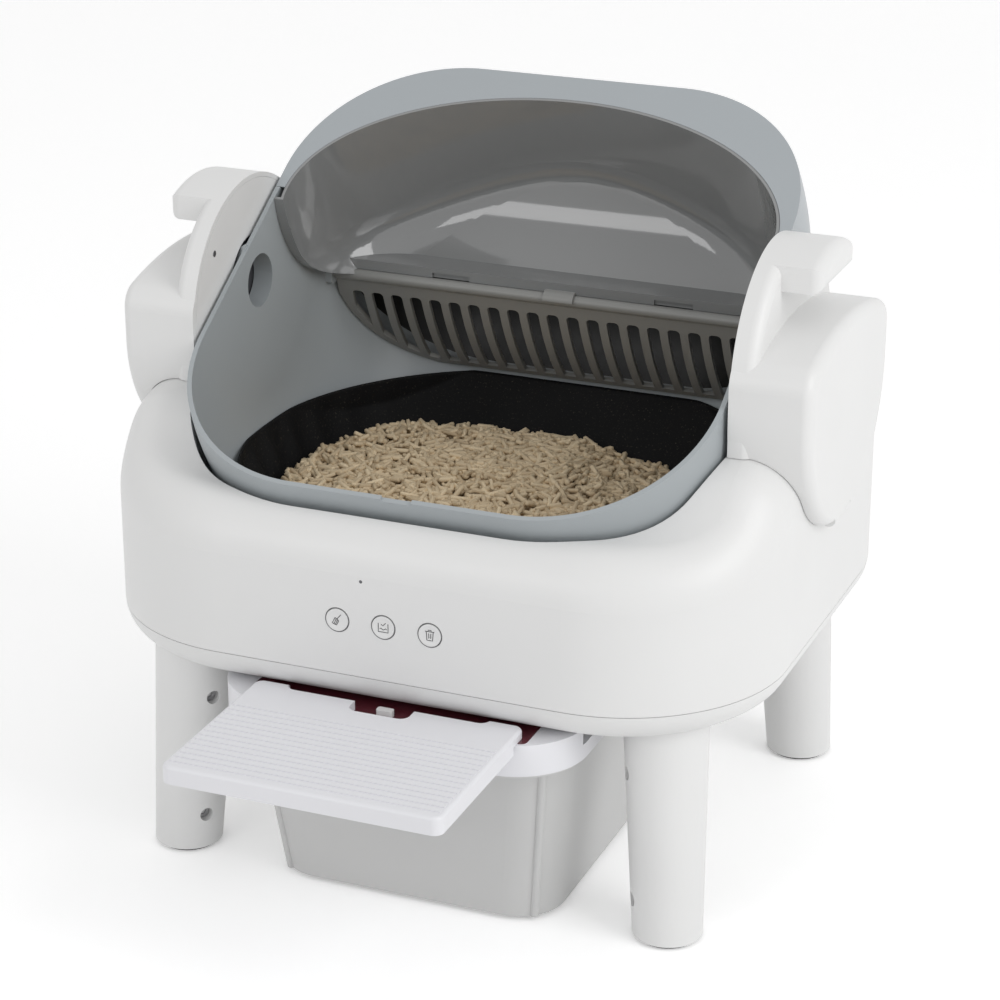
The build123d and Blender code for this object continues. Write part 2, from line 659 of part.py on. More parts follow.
# Low-voltage power socket in the back wall
with BuildPart() as power_inlet:
    with BuildSketch(facing(BODY_HALF_DEPTH)):
        with Locations((INLET_X, INLET_HEIGHT)):
            Circle(INLET_RADIUS + BODY_WALL)
    extrude(amount=BODY_WALL + INLET_DEPTH)
    with BuildSketch(facing(BODY_HALF_DEPTH - BODY_WALL - RUNNING_CLEARANCE)):
        with Locations((INLET_X, INLET_HEIGHT)):
            Circle(INLET_RADIUS + INLET_FLANGE)
    extrude(amount=BODY_WALL)
    with BuildSketch(facing(BODY_HALF_DEPTH)):
        with Locations((INLET_X, INLET_HEIGHT)):
            Circle(INLET_RADIUS)
            Circle(INLET_RADIUS / 5, mode=Mode.SUBTRACT)
    extrude(amount=INLET_DEPTH, mode=Mode.SUBTRACT)
power_inlet.part.label = "power_inlet"
export_step(power_inlet.part, "parts/power_inlet.step")

# Drum bowl: front, floor and side walls, with a hexagonal taper and a round hole at each end
RIM_RUN = math.sqrt(DRUM_RADIUS**2 - OPENING_LIFT**2)
with BuildPart(mode=Mode.PRIVATE) as rod_lugs:
    for side in SIDES.values():
        with BuildSketch(across(side * DRUM_HALF_WIDTH)):
            with Locations((GRATE_HINGE_BACK, -GRATE_HINGE_DROP)):
                RectangleRounded(2 * ROD_LUG, 2 * ROD_LUG, ROD_LUG / 3)
        extrude(amount=-side * (DRUM_WALL + ROD_LUG))
    add(drum_form(-DRUM_WALL / 2), mode=Mode.INTERSECT)

with BuildPart() as drum_bowl:
    add(drum_outer)
    add(drum_inner, mode=Mode.SUBTRACT)
    split(bisect_by=OPENING, keep=Keep.BOTTOM)
    split(bisect_by=HOOD_SEAM.offset(-HOOD_SEAM_GAP / 2), keep=Keep.BOTTOM)
    tip_flat = TAPER_FLAT - TAPER_LENGTH * math.tan(math.radians(TAPER_ANGLE))
    for side in SIDES.values():
        with BuildSketch(across(side * (DRUM_HALF_WIDTH - DRUM_WALL / 2))):
            RegularPolygon(TAPER_FLAT, 6, major_radius=False)
        extrude(amount=side * DRUM_WALL / 2)
        with BuildSketch(across(side * DRUM_HALF_WIDTH)):
            RegularPolygon(TAPER_FLAT, 6, major_radius=False)
        with BuildSketch(across(side * (DRUM_HALF_WIDTH + TAPER_LENGTH))):
            RegularPolygon(tip_flat, 6, major_radius=False)
        loft()
        with BuildSketch(across(side * (DRUM_HALF_WIDTH - 2 * DRUM_WALL))):
            Circle(TAPER_HOLE)
        extrude(amount=side * (TAPER_LENGTH + 3 * DRUM_WALL), mode=Mode.SUBTRACT)
    add(rod_lugs.part)
    for side in SIDES.values():
        with BuildSketch(across(side * (DRUM_HALF_WIDTH - 2 * DRUM_WALL))):
            with Locations((GRATE_HINGE_BACK, -GRATE_HINGE_DROP)):
                Circle(ROD_RADIUS + RUNNING_CLEARANCE)
        extrude(amount=-side * 2 * ROD_LUG, mode=Mode.SUBTRACT)
    with BuildSketch(OPENING):
        with Locations((0, -RIM_RUN)):
            RectangleRounded(LIP_NOTCH_WIDTH, 6 * DRUM_WALL, DRUM_WALL)
    extrude(amount=-LIP_NOTCH_DEPTH, mode=Mode.SUBTRACT)
drum_bowl.part.label = "drum_bowl"
export_step(drum_bowl.part, "parts/drum_bowl.step")


def hood_cavity(grow):
    """Space in front of the hood's inner panel: a barrel with an oval mouth, its faces moved by grow."""
    with BuildPart(mode=Mode.PRIVATE) as barrel:
        with BuildSketch(across(-DRUM_HALF_WIDTH)):
            with Locations(Location((BARREL_BACK, BARREL_RISE), OPENING_TILT)):
                Circle(BARREL_RADIUS + grow)
                Rectangle(2 * (BARREL_RADIUS + grow), DRUM_RADIUS, align=(Align.CENTER, Align.MIN))
        extrude(amount=2 * DRUM_HALF_WIDTH)
    with BuildPart(mode=Mode.PRIVATE) as form:
        with BuildSketch(OPENING.offset(DRUM_WALL)):
            with Locations((0, HOOD_START)):
                Ellipse(DRUM_HALF_WIDTH - PANEL_SIDE + grow, MOUTH_RUN + grow)
        extrude(amount=-DRUM_RADIUS)
        add(barrel.part, mode=Mode.INTERSECT)
        mouth_cut = Plane(OPENING.from_local_coords((0, MOUTH_START, 0)), z_dir=OPENING.y_dir)
        split(bisect_by=mouth_cut, keep=Keep.TOP)
        crease = form.edges().filter_by(
            lambda edge: OPENING.to_local_coords(edge.center()).Z < -DRUM_WALL
            and OPENING.to_local_coords(edge.center()).Y > MOUTH_START + DRUM_WALL
        )
        fillet(crease, DOME_ROUND + grow)
    return form.part


# Hood: the drum's upper back skin with a flat flange in the plane of the opening
with BuildPart(mode=Mode.PRIVATE) as flange:
    add(drum_outer)
    split(bisect_by=OPENING, keep=Keep.BOTTOM)
    split(bisect_by=OPENING.offset(-FLANGE_THICKNESS), keep=Keep.TOP)
    add(hood_cavity(LAYER_GAP), mode=Mode.SUBTRACT)

with BuildPart() as hood_shell:
    add(drum_outer)
    add(drum_inner, mode=Mode.SUBTRACT)
    split(bisect_by=OPENING, keep=Keep.BOTTOM)
    add(flange.part)
    split(bisect_by=HOOD_SEAM.offset(HOOD_SEAM_GAP / 2), keep=Keep.TOP)
hood_shell.part.label = "hood_shell"
export_step(hood_shell.part, "parts/hood_shell.step")

# Inner panel of the hood with its front return and the sill over the grate's hinge
SILL_BASE = GRATE_TUBE + LAYER_GAP - GRATE_HINGE_DROP
with BuildPart(mode=Mode.PRIVATE) as scoop_return:
    add(drum_form(-DRUM_WALL - LAYER_GAP))
    add(cross_cylinder(SCOOP_BACK, SCOOP_RISE, SCOOP_RADIUS, DRUM_HALF_WIDTH), mode=Mode.INTERSECT)
    add(
        cross_cylinder(SCOOP_BACK, SCOOP_RISE, SCOOP_RADIUS - PANEL_WALL, DRUM_HALF_WIDTH), mode=Mode.SUBTRACT
    )
    add(hood_cavity(-PANEL_WALL), mode=Mode.SUBTRACT)
    with BuildSketch(across(-DRUM_HALF_WIDTH)):
        with Locations((GRATE_HINGE_BACK - ROD_LUG - LAYER_GAP, 0)):
            Rectangle(2 * DRUM_RADIUS, 2 * DRUM_RADIUS, align=(Align.MAX, Align.CENTER))
    extrude(amount=2 * DRUM_HALF_WIDTH, mode=Mode.INTERSECT)

with BuildPart(mode=Mode.PRIVATE) as sill:
    with BuildSketch(across(0)):
        with Locations((GRATE_HINGE_BACK, SILL_BASE)):
            Rectangle(BARREL_RADIUS, SILL_HEIGHT, align=(Align.MIN, Align.MIN))
    extrude(amount=DRUM_HALF_WIDTH, both=True)
    add(hood_cavity(-PANEL_WALL / 2), mode=Mode.INTERSECT)
    with BuildSketch(Plane(origin=(0, BODY_Y + GRATE_HINGE_BACK, AXIS_HEIGHT + SILL_BASE))):
        with GridLocations(SILL_SLOT_SPACING, 1, 2, 1):
            Rectangle(SILL_SLOT_LENGTH, 2 * PANEL_WALL)
    extrude(amount=SILL_HEIGHT / 2, mode=Mode.SUBTRACT)

with BuildPart() as hood_panel:
    add(hood_cavity(0))
    add(hood_cavity(-PANEL_WALL), mode=Mode.SUBTRACT)
    add(cross_cylinder(SCOOP_BACK, SCOOP_RISE, SCOOP_RADIUS, DRUM_HALF_WIDTH), mode=Mode.INTERSECT)
    add(scoop_return.part)
    add(sill.part)
    split(bisect_by=OPENING, keep=Keep.BOTTOM)
    add(
        cross_cylinder(
            GRATE_HINGE_BACK, -GRATE_HINGE_DROP, GRATE_TUBE + LAYER_GAP / 2, 2 * DRUM_HALF_WIDTH
        ),
        mode=Mode.SUBTRACT,
    )
hood_panel.part.label = "hood_panel"
export_step(hood_panel.part, "parts/hood_panel.step")

# Sieve grate: a gently bowed sheet with upright slots, hung from a tube on a steel rod
GRATE_TOP = (GRATE_HINGE_BACK, -GRATE_HINGE_DROP)
GRATE_FOOT = (GRATE_FOOT_BACK, -GRATE_FOOT_DROP)
GRATE_RUN = math.dist(GRATE_TOP, GRATE_FOOT)
GRATE_DIR = ((GRATE_FOOT[0] - GRATE_TOP[0]) / GRATE_RUN, (GRATE_FOOT[1] - GRATE_TOP[1]) / GRATE_RUN)


def grate_point(run, bow):
    """Point at a distance run down the grate's chord, moved out to the front by bow."""
    return (
        GRATE_TOP[0] + run * GRATE_DIR[0] + bow * GRATE_DIR[1],
        GRATE_TOP[1] + run * GRATE_DIR[1] - bow * GRATE_DIR[0],
    )


def grate_sheet(left, width, start, end, thickness):
    """Bowed sheet between two distances down the chord, from x = left over width."""

    def bowed(run, offset):
        return grate_point(run, offset + 4 * GRATE_BOW * run * (GRATE_RUN - run) / GRATE_RUN**2)

    middle = (start + end) / 2
    half = thickness / 2
    with BuildPart(mode=Mode.PRIVATE) as form:
        with BuildSketch(across(left)):
            with BuildLine():
                Line(bowed(start, -half), bowed(start, half))
                ThreePointArc(bowed(start, half), bowed(middle, half), bowed(end, half))
                Line(bowed(end, half), bowed(end, -half))
                ThreePointArc(bowed(end, -half), bowed(middle, -half), bowed(start, -half))
            make_face()
        extrude(amount=width)
    return form.part


TUBE_HALF_LENGTH = DRUM_HALF_WIDTH - DRUM_WALL - ROD_LUG - LAYER_GAP
with BuildPart(mode=Mode.PRIVATE) as grate_slots:
    for place in range(GRATE_SLOTS):
        slot_left = (place - (GRATE_SLOTS - 1) / 2) * GRATE_PITCH - GRATE_SLOT_WIDTH / 2
        add(
            grate_sheet(
                slot_left, GRATE_SLOT_WIDTH, GRATE_HEAD, GRATE_RUN - GRATE_FRAME, 2 * GRATE_THICKNESS
            )
        )
    slot_tops = grate_slots.edges().filter_by(
        lambda edge: abs(edge.length - 2 * GRATE_THICKNESS) < LAYER_GAP
        and edge.center().Z > AXIS_HEIGHT - (GRATE_HINGE_DROP + GRATE_FOOT_DROP) / 2
    )
    fillet(slot_tops, GRATE_SLOT_ROUND)
    add(drum_form(-DRUM_WALL - GRATE_GAP - GRATE_FRAME), mode=Mode.INTERSECT)

with BuildPart() as grate_panel:
    add(grate_sheet(-TUBE_HALF_LENGTH, 2 * TUBE_HALF_LENGTH, 0, GRATE_RUN, GRATE_THICKNESS))
    add(drum_form(-DRUM_WALL - GRATE_GAP), mode=Mode.INTERSECT)
    add(grate_slots.part, mode=Mode.SUBTRACT)
    add(cross_cylinder(GRATE_TOP[0], GRATE_TOP[1], GRATE_TUBE, TUBE_HALF_LENGTH))
    add(
        cross_cylinder(GRATE_TOP[0], GRATE_TOP[1], ROD_RADIUS + RUNNING_CLEARANCE, DRUM_HALF_WIDTH),
        mode=Mode.SUBTRACT,
    )
grate_panel.part.label = "grate_panel"
export_step(grate_panel.part, "parts/grate_panel.step")

with BuildPart() as grate_rod:
    add(cross_cylinder(GRATE_TOP[0], GRATE_TOP[1], ROD_RADIUS, TUBE_HALF_LENGTH + ROD_LUG / 2))
grate_rod.part.label = "grate_rod"
export_step(grate_rod.part, "parts/grate_rod.step")

# Clip on the sill that keeps the grate's tube on its line
with BuildPart() as grate_clip:
    with BuildSketch(across(-CLIP_HALF_WIDTH)):
        with Locations(GRATE_TOP):
            Circle(GRATE_TUBE + LAYER_GAP + CLIP_WALL)
            Circle(GRATE_TUBE + LAYER_GAP, mode=Mode.SUBTRACT)
            Rectangle(4 * GRATE_TUBE, 4 * GRATE_TUBE, align=(Align.MAX, Align.MIN), mode=Mode.INTERSECT)
    extrude(amount=2 * CLIP_HALF_WIDTH)
grate_clip.part.label = "grate_clip"
export_step(grate_clip.part, "parts/grate_clip.step")

# Soft black liner in the bowl, with a bead along its rim, and the litter on it
LINER_SKIN = -DRUM_WALL - LAYER_GAP
with BuildPart(mode=Mode.PRIVATE) as liner_bead:
    add(drum_form(LINER_SKIN))
    add(drum_form(LINER_SKIN - LINER_WALL - LINER_BEAD), mode=Mode.SUBTRACT)
    split(bisect_by=Plane.XY.offset(LINER_RIM - LINER_BEAD_HEIGHT), keep=Keep.TOP)

with BuildPart() as drum_liner:
    add(drum_form(LINER_SKIN))
    add(drum_form(LINER_SKIN - LINER_WALL), mode=Mode.SUBTRACT)
    add(liner_bead.part)
    split(bisect_by=Plane.XY.offset(LINER_RIM), keep=Keep.BOTTOM)
drum_liner.part.label = "drum_liner"
export_step(drum_liner.part, "parts/drum_liner.step")

with BuildPart() as litter_bed:
    add(drum_form(LINER_SKIN - LINER_WALL - LAYER_GAP))
    split(bisect_by=Plane.XY.offset(LITTER_TOP), keep=Keep.BOTTOM)
litter_bed.part.label = "litter_bed"
export_step(litter_bed.part, "parts/litter_bed.step")

# Side arms: a fin against the drum, a bulge over the drive and a handle tab, hinged at the bottom
FIN_BASE = SHOULDER_TOP - FIN_ROOT - AXIS_HEIGHT
PLATE_BASE = SHOULDER_TOP + ARM_GAP + PLATE_INSET - AXIS_HEIGHT
TAPER_AT_PLATE = TAPER_FLAT - ARM_DRUM_GAP * math.tan(math.radians(TAPER_ANGLE))
PLATE_HOLE = TAPER_AT_PLATE / math.cos(math.radians(30)) + HUB_GAP / 2
SPIGOT_END = BORE_START + HUB_GAP
MOTOR_FACE = HUB_FACE + GEAR_WIDTH + MOTOR_GAP
MOTOR_SPOT = (GEAR_CENTRES, 0)
ARM_SCREWS = [(end * back, rise) for end in (-1, 1) for back, rise in (ARM_SCREW_TOP, ARM_SCREW_LOW)]
LOW_SCREWS = [(end * ARM_SCREW_LOW[0], ARM_SCREW_LOW[1]) for end in (-1, 1)]


def tombstone(inset, base):
    """Outline of the fin in the current sketch: a round top on straight sides down to base."""
    with Locations((0, -FIN_DROP)):
        Circle(FIN_RADIUS - inset)
    with Locations((0, base)):
        Rectangle(2 * (FIN_RADIUS - inset), -FIN_DROP - base, align=(Align.CENTER, Align.MIN))
        Rectangle(4 * FIN_RADIUS, 4 * FIN_RADIUS, align=(Align.CENTER, Align.MIN), mode=Mode.INTERSECT)


def bulge_prism(start, end, side_inset, top_inset):
    """Prism of the bulge's outline between two x positions, moved inwards at the sides and the top."""
    radius = BULGE_RADIUS - side_inset
    edge = BULGE_SHOULDER - top_inset
    crown = BULGE_CROWN - top_inset
    with BuildPart(mode=Mode.PRIVATE) as form:
        with BuildSketch(across(start)) as outline:
            with BuildLine():
                ThreePointArc((-radius, -BULGE_DROP), (0, -BULGE_DROP - radius), (radius, -BULGE_DROP))
                Line((radius, -BULGE_DROP), (radius, edge))
                ThreePointArc((radius, edge), (0, crown), (-radius, edge))
                Line((-radius, edge), (-radius, -BULGE_DROP))
            make_face()
            fillet(outline.vertices().sort_by(Axis.Y)[-2:], BULGE_CORNER - top_inset)
        extrude(amount=end - start)
    return form.part


body_clear = body_form(ARM_GAP)
body_lining = body_form(ARM_GAP + ARM_WALL)
for side_name, side in SIDES.items():
    outermost = -1 if side > 0 else 0
    with BuildPart(mode=Mode.PRIVATE) as fin:
        with BuildSketch(across(side * ARM_INNER)):
            tombstone(0, FIN_BASE)
        extrude(amount=side * FIN_THICKNESS)
        fillet(fin.faces().sort_by(Axis.X)[outermost].edges(), FIN_ROUND)

    with BuildPart(mode=Mode.PRIVATE) as handle:
        with BuildSketch(across(side * ARM_INNER)):
            with Locations((0, -FIN_DROP)):
                Circle(FIN_RADIUS)
            with Locations((0, FIN_RADIUS - FIN_DROP)):
                Rectangle(
                    2 * HANDLE_HALF_WIDTH,
                    HANDLE_THICKNESS,
                    align=(Align.CENTER, Align.MAX),
                    mode=Mode.INTERSECT,
                )
        extrude(amount=side * HANDLE_REACH)
        fillet(handle.faces().sort_by(Axis.X)[outermost].edges(), HANDLE_ROUND)

    with BuildPart(mode=Mode.PRIVATE) as bulge:
        add(bulge_prism(side * ARM_INNER, side * ARM_OUTER, 0, 0))
        fillet(bulge.faces().sort_by(Axis.X)[outermost].edges(), BULGE_ROUND)

    with BuildPart(mode=Mode.PRIVATE) as hollow:
        add(bulge_prism(side * (ARM_INNER + PLATE_THICKNESS / 2), side * ARM_INSIDE, ARM_SIDE_WALL, ARM_WALL))
        add(body_lining, mode=Mode.SUBTRACT)
        split(bisect_by=Plane.XY.offset(PIVOT_HEIGHT + 2 * KNUCKLE_RADIUS), keep=Keep.TOP)

    with BuildPart() as arm_shell:
        add(bulge.part)
        add(fin.part)
        add(handle.part)
        add(body_clear, mode=Mode.SUBTRACT)
        split(bisect_by=Plane.XY.offset(PIVOT_HEIGHT), keep=Keep.TOP)
        add(hollow.part, mode=Mode.SUBTRACT)
        with BuildSketch(across(side * ARM_INNER)):
            tombstone(PLATE_INSET, PLATE_BASE)
        extrude(amount=side * PLATE_THICKNESS, mode=Mode.SUBTRACT)
        with BuildSketch(across(side * ARM_INNER)):
            Circle(GEAR_MODULE * (GEAR_TEETH / 2 + 1) + 2 * HUB_GAP)
        extrude(amount=side * (BORE_START - ARM_INNER), mode=Mode.SUBTRACT)
        with BuildSketch(across(side * SPIGOT_END)):
            Circle(SPIGOT_RADIUS)
        extrude(amount=side * (ARM_INSIDE + ARM_WALL / 2 - SPIGOT_END))
        with BuildSketch(across(side * (ARM_INNER + PLATE_THICKNESS))):
            with Locations(LOW_SCREWS):
                Circle(3 * SCREW_RADIUS)
        extrude(amount=side * (ARM_INSIDE + ARM_WALL / 2 - ARM_INNER - PLATE_THICKNESS))
        if side > 0:
            with BuildSketch(across(MOTOR_FACE + MOTOR_NOSE_LENGTH + CRADLE_WALL)):
                with Locations(MOTOR_SPOT):
                    Circle(MOTOR_RADIUS + CRADLE_CLEARANCE + CRADLE_WALL)
                    Circle(MOTOR_RADIUS + CRADLE_CLEARANCE, mode=Mode.SUBTRACT)
            extrude(amount=ARM_INSIDE + ARM_WALL / 2 - MOTOR_FACE - MOTOR_NOSE_LENGTH - CRADLE_WALL)
        with BuildSketch(across(side * (ARM_INNER + PLATE_THICKNESS))):
            with Locations(ARM_SCREWS):
                Circle(SCREW_RADIUS)
        extrude(amount=side * SCREW_LENGTH, mode=Mode.SUBTRACT)
        with BuildSketch(facing(KNUCKLE_HALF_LENGTH)):
            with Locations((side * PIVOT_X, PIVOT_HEIGHT)):
                Circle(KNUCKLE_RADIUS)
        extrude(amount=2 * KNUCKLE_HALF_LENGTH)
        with BuildSketch(facing(LUG_HALF_WIDTH + LUG_CLEARANCE)):
            with Locations((side * PIVOT_X, PIVOT_HEIGHT)):
                Circle(KNUCKLE_RADIUS + LUG_CLEARANCE)
                Rectangle(
                    4 * KNUCKLE_RADIUS,
                    2 * (KNUCKLE_RADIUS + LUG_CLEARANCE),
                    align=(Align.MAX if side > 0 else Align.MIN, Align.CENTER),
                )
        extrude(amount=2 * (LUG_HALF_WIDTH + LUG_CLEARANCE), mode=Mode.SUBTRACT)
        with BuildSketch(facing(2 * KNUCKLE_HALF_LENGTH)):
            with Locations((side * PIVOT_X, PIVOT_HEIGHT)):
                Circle(PIN_RADIUS + RUNNING_CLEARANCE)
        extrude(amount=3 * KNUCKLE_HALF_LENGTH, mode=Mode.SUBTRACT)
    arm_shell.part.label = f"{side_name}_arm_shell"
    export_step(arm_shell.part, f"parts/{side_name}_arm_shell.step")

    with BuildPart() as arm_plate:
        with BuildSketch(across(side * ARM_INNER)):
            tombstone(PLATE_INSET + PLATE_CLEARANCE, PLATE_BASE + PLATE_CLEARANCE)
            Circle(PLATE_HOLE, mode=Mode.SUBTRACT)
            with Locations(ARM_SCREWS):
                Circle(SCREW_RADIUS + RUNNING_CLEARANCE, mode=Mode.SUBTRACT)
        extrude(amount=side * PLATE_THICKNESS)
        with BuildSketch(across(side * ARM_INNER)):
            with Locations(ARM_SCREWS):
                Circle(SCREW_HEAD_RADIUS + RUNNING_CLEARANCE)
        extrude(amount=side * SCREW_HEAD_HEIGHT, mode=Mode.SUBTRACT)
    arm_plate.part.label = f"{side_name}_arm_plate"
    export_step(arm_plate.part, f"parts/{side_name}_arm_plate.step")

    with BuildPart() as arm_screws:
        with BuildSketch(across(side * ARM_INNER)):
            with Locations(ARM_SCREWS):
                Circle(SCREW_HEAD_RADIUS)
        extrude(amount=side * SCREW_HEAD_HEIGHT)
        with BuildSketch(across(side * (ARM_INNER + SCREW_HEAD_HEIGHT))):
            with Locations(ARM_SCREWS):
                Circle(SCREW_RADIUS - RUNNING_CLEARANCE)
        extrude(amount=side * SCREW_THREAD)
        with BuildSketch(across(side * ARM_INNER)):
            with Locations(ARM_SCREWS):
                Rectangle(SCREW_HEAD_RADIUS, SCREW_HEAD_RADIUS / 3)
                Rectangle(SCREW_HEAD_RADIUS / 3, SCREW_HEAD_RADIUS)
        extrude(amount=side * SCREW_HEAD_HEIGHT / 2, mode=Mode.SUBTRACT)
    arm_screws.part.label = f"{side_name}_arm_screws"
    export_step(arm_screws.part, f"parts/{side_name}_arm_screws.step")

with BuildPart() as arm_pins:
    with BuildSketch(facing(KNUCKLE_HALF_LENGTH)):
        with GridLocations(2 * PIVOT_X, 1, 2, 1):
            with Locations((0, PIVOT_HEIGHT)):
                Circle(PIN_RADIUS)
    extrude(amount=2 * KNUCKLE_HALF_LENGTH - LUG_CLEARANCE)
arm_pins.part.label = "arm_pins"
export_step(arm_pins.part, "parts/arm_pins.step")


def gear_outline(teeth, turn):
    """Straight-flanked teeth on the pitch circle in the current sketch, turned by an angle in degrees."""
    pitch = GEAR_MODULE * teeth / 2
    outer = pitch + GEAR_MODULE
    root = pitch - GEAR_ROOT_DEPTH * GEAR_MODULE
    half = (math.pi * GEAR_MODULE / 2 - GEAR_BACKLASH) / 2
    slope = math.tan(math.radians(GEAR_FLANK_ANGLE))
    tip_half = (half - slope * GEAR_MODULE) / outer
    root_half = (half + slope * GEAR_ROOT_DEPTH * GEAR_MODULE) / root
    points = []
    for tooth in range(teeth):
        middle = math.radians(turn) + 2 * math.pi * tooth / teeth
        for radius, angle in (
            (root, middle - root_half),
            (outer, middle - tip_half),
            (outer, middle + tip_half),
            (root, middle + root_half),
        ):
            points.append((radius * math.cos(angle), radius * math.sin(angle)))
    Polygon(*points, align=None)


def hub_socket(side):
    """Tapered hexagonal recess that takes the drum's coupling."""

    def flat(x):
        return TAPER_FLAT - (x - DRUM_HALF_WIDTH) * math.tan(math.radians(TAPER_ANGLE)) + TAPER_CLEARANCE

    mouth = HUB_FACE - HUB_GAP
    with BuildPart(mode=Mode.PRIVATE) as form:
        with BuildSketch(across(side * mouth)):
            RegularPolygon(flat(mouth), 6, major_radius=False)
        with BuildSketch(across(side * SOCKET_FLOOR)):
            RegularPolygon(flat(SOCKET_FLOOR), 6, major_radius=False)
        loft()
    return form.part


# Hubs that carry the drum: the right one is the large gear, the left one runs free
HUBS = {"drive_gear": 1, "idler_hub": -1}
for name, side in HUBS.items():
    with BuildPart() as hub:
        with BuildSketch(across(side * HUB_FACE)):
            if side > 0:
                gear_outline(GEAR_TEETH, 180 / GEAR_TEETH)
            else:
                Circle(GEAR_MODULE * GEAR_TEETH / 2)
        extrude(amount=side * GEAR_WIDTH)
        with BuildSketch(across(side * (HUB_FACE + GEAR_WIDTH))):
            Circle(HUB_RADIUS)
        extrude(amount=side * (BORE_START - HUB_GAP - HUB_FACE - GEAR_WIDTH))
        with BuildSketch(across(side * (BORE_START - HUB_GAP))):
            Circle(BUSH_RADIUS + HUB_BARREL_WALL)
        extrude(amount=side * (BUSH_LENGTH + 2 * HUB_GAP))
        add(hub_socket(side), mode=Mode.SUBTRACT)
        with BuildSketch(across(side * BORE_START)):
            Circle(BUSH_RADIUS + RUNNING_CLEARANCE)
        extrude(amount=side * 2 * BUSH_LENGTH, mode=Mode.SUBTRACT)
    hub.part.label = name
    export_step(hub.part, f"parts/{name}.step")

BUSHES = {"drive_bush": 1, "idler_bush": -1}
for name, side in BUSHES.items():
    with BuildPart() as bush:
        with BuildSketch(across(side * (SPIGOT_END + HUB_GAP))):
            Circle(BUSH_RADIUS)
            Circle(SPIGOT_RADIUS + RUNNING_CLEARANCE / 2, mode=Mode.SUBTRACT)
        extrude(amount=side * BUSH_LENGTH)
    bush.part.label = name
    export_step(bush.part, f"parts/{name}.step")

# Gear motor in its cradle, with the pinion on its shaft
with BuildPart() as gear_motor:
    with BuildSketch(across(MOTOR_FACE)):
        with Locations(MOTOR_SPOT):
            Circle(MOTOR_NOSE)
    extrude(amount=MOTOR_NOSE_LENGTH)
    with BuildSketch(across(MOTOR_FACE + MOTOR_NOSE_LENGTH)):
        with Locations(MOTOR_SPOT):
            Circle(MOTOR_RADIUS)
    extrude(amount=ARM_INSIDE - MOTOR_FACE - MOTOR_NOSE_LENGTH)
    with BuildSketch(across(MOTOR_FACE)):
        with Locations(MOTOR_SPOT):
            Circle(SHAFT_RADIUS + RUNNING_CLEARANCE)
    extrude(amount=MOTOR_NOSE_LENGTH + MOTOR_NOSE, mode=Mode.SUBTRACT)
gear_motor.part.label = "gear_motor"
export_step(gear_motor.part, "parts/gear_motor.step")

with BuildPart() as motor_pinion:
    with BuildSketch(across(HUB_FACE)):
        with Locations(MOTOR_SPOT):
            gear_outline(PINION_TEETH, 0)
    extrude(amount=GEAR_WIDTH)
    with BuildSketch(across(HUB_FACE + GEAR_WIDTH)):
        with Locations(MOTOR_SPOT):
            Circle(SHAFT_RADIUS)
    extrude(amount=MOTOR_GAP + MOTOR_NOSE_LENGTH + MOTOR_NOSE / 2)
motor_pinion.part.label = "motor_pinion"
export_step(motor_pinion.part, "parts/motor_pinion.step")

# Waste drawer: a collar that hangs in two runners, a bin below it and a ring that holds the bag
GROOVE_TOP = COLLAR_TOP - COLLAR_FLANGE
GROOVE_FLOOR = GROOVE_TOP - RUNNER_LIP - 2 * RUNNER_CLEARANCE
GROOVE_SIDE = COLLAR_HALF_WIDTH - GROOVE_DEPTH
TONGUE_TOP = COLLAR_TOP - TONGUE_DROP
TONGUE_BASE = TONGUE_TOP - TONGUE_THICKNESS
DECK_UNDER = COLLAR_TOP - COLLAR_DECK


def plan(half_width, front, back, corner):
    """Rounded rectangle in the current sketch, from front to back of the body's centre."""
    with Locations((0, (back - front) / 2)):
        RectangleRounded(2 * half_width, front + back, corner)


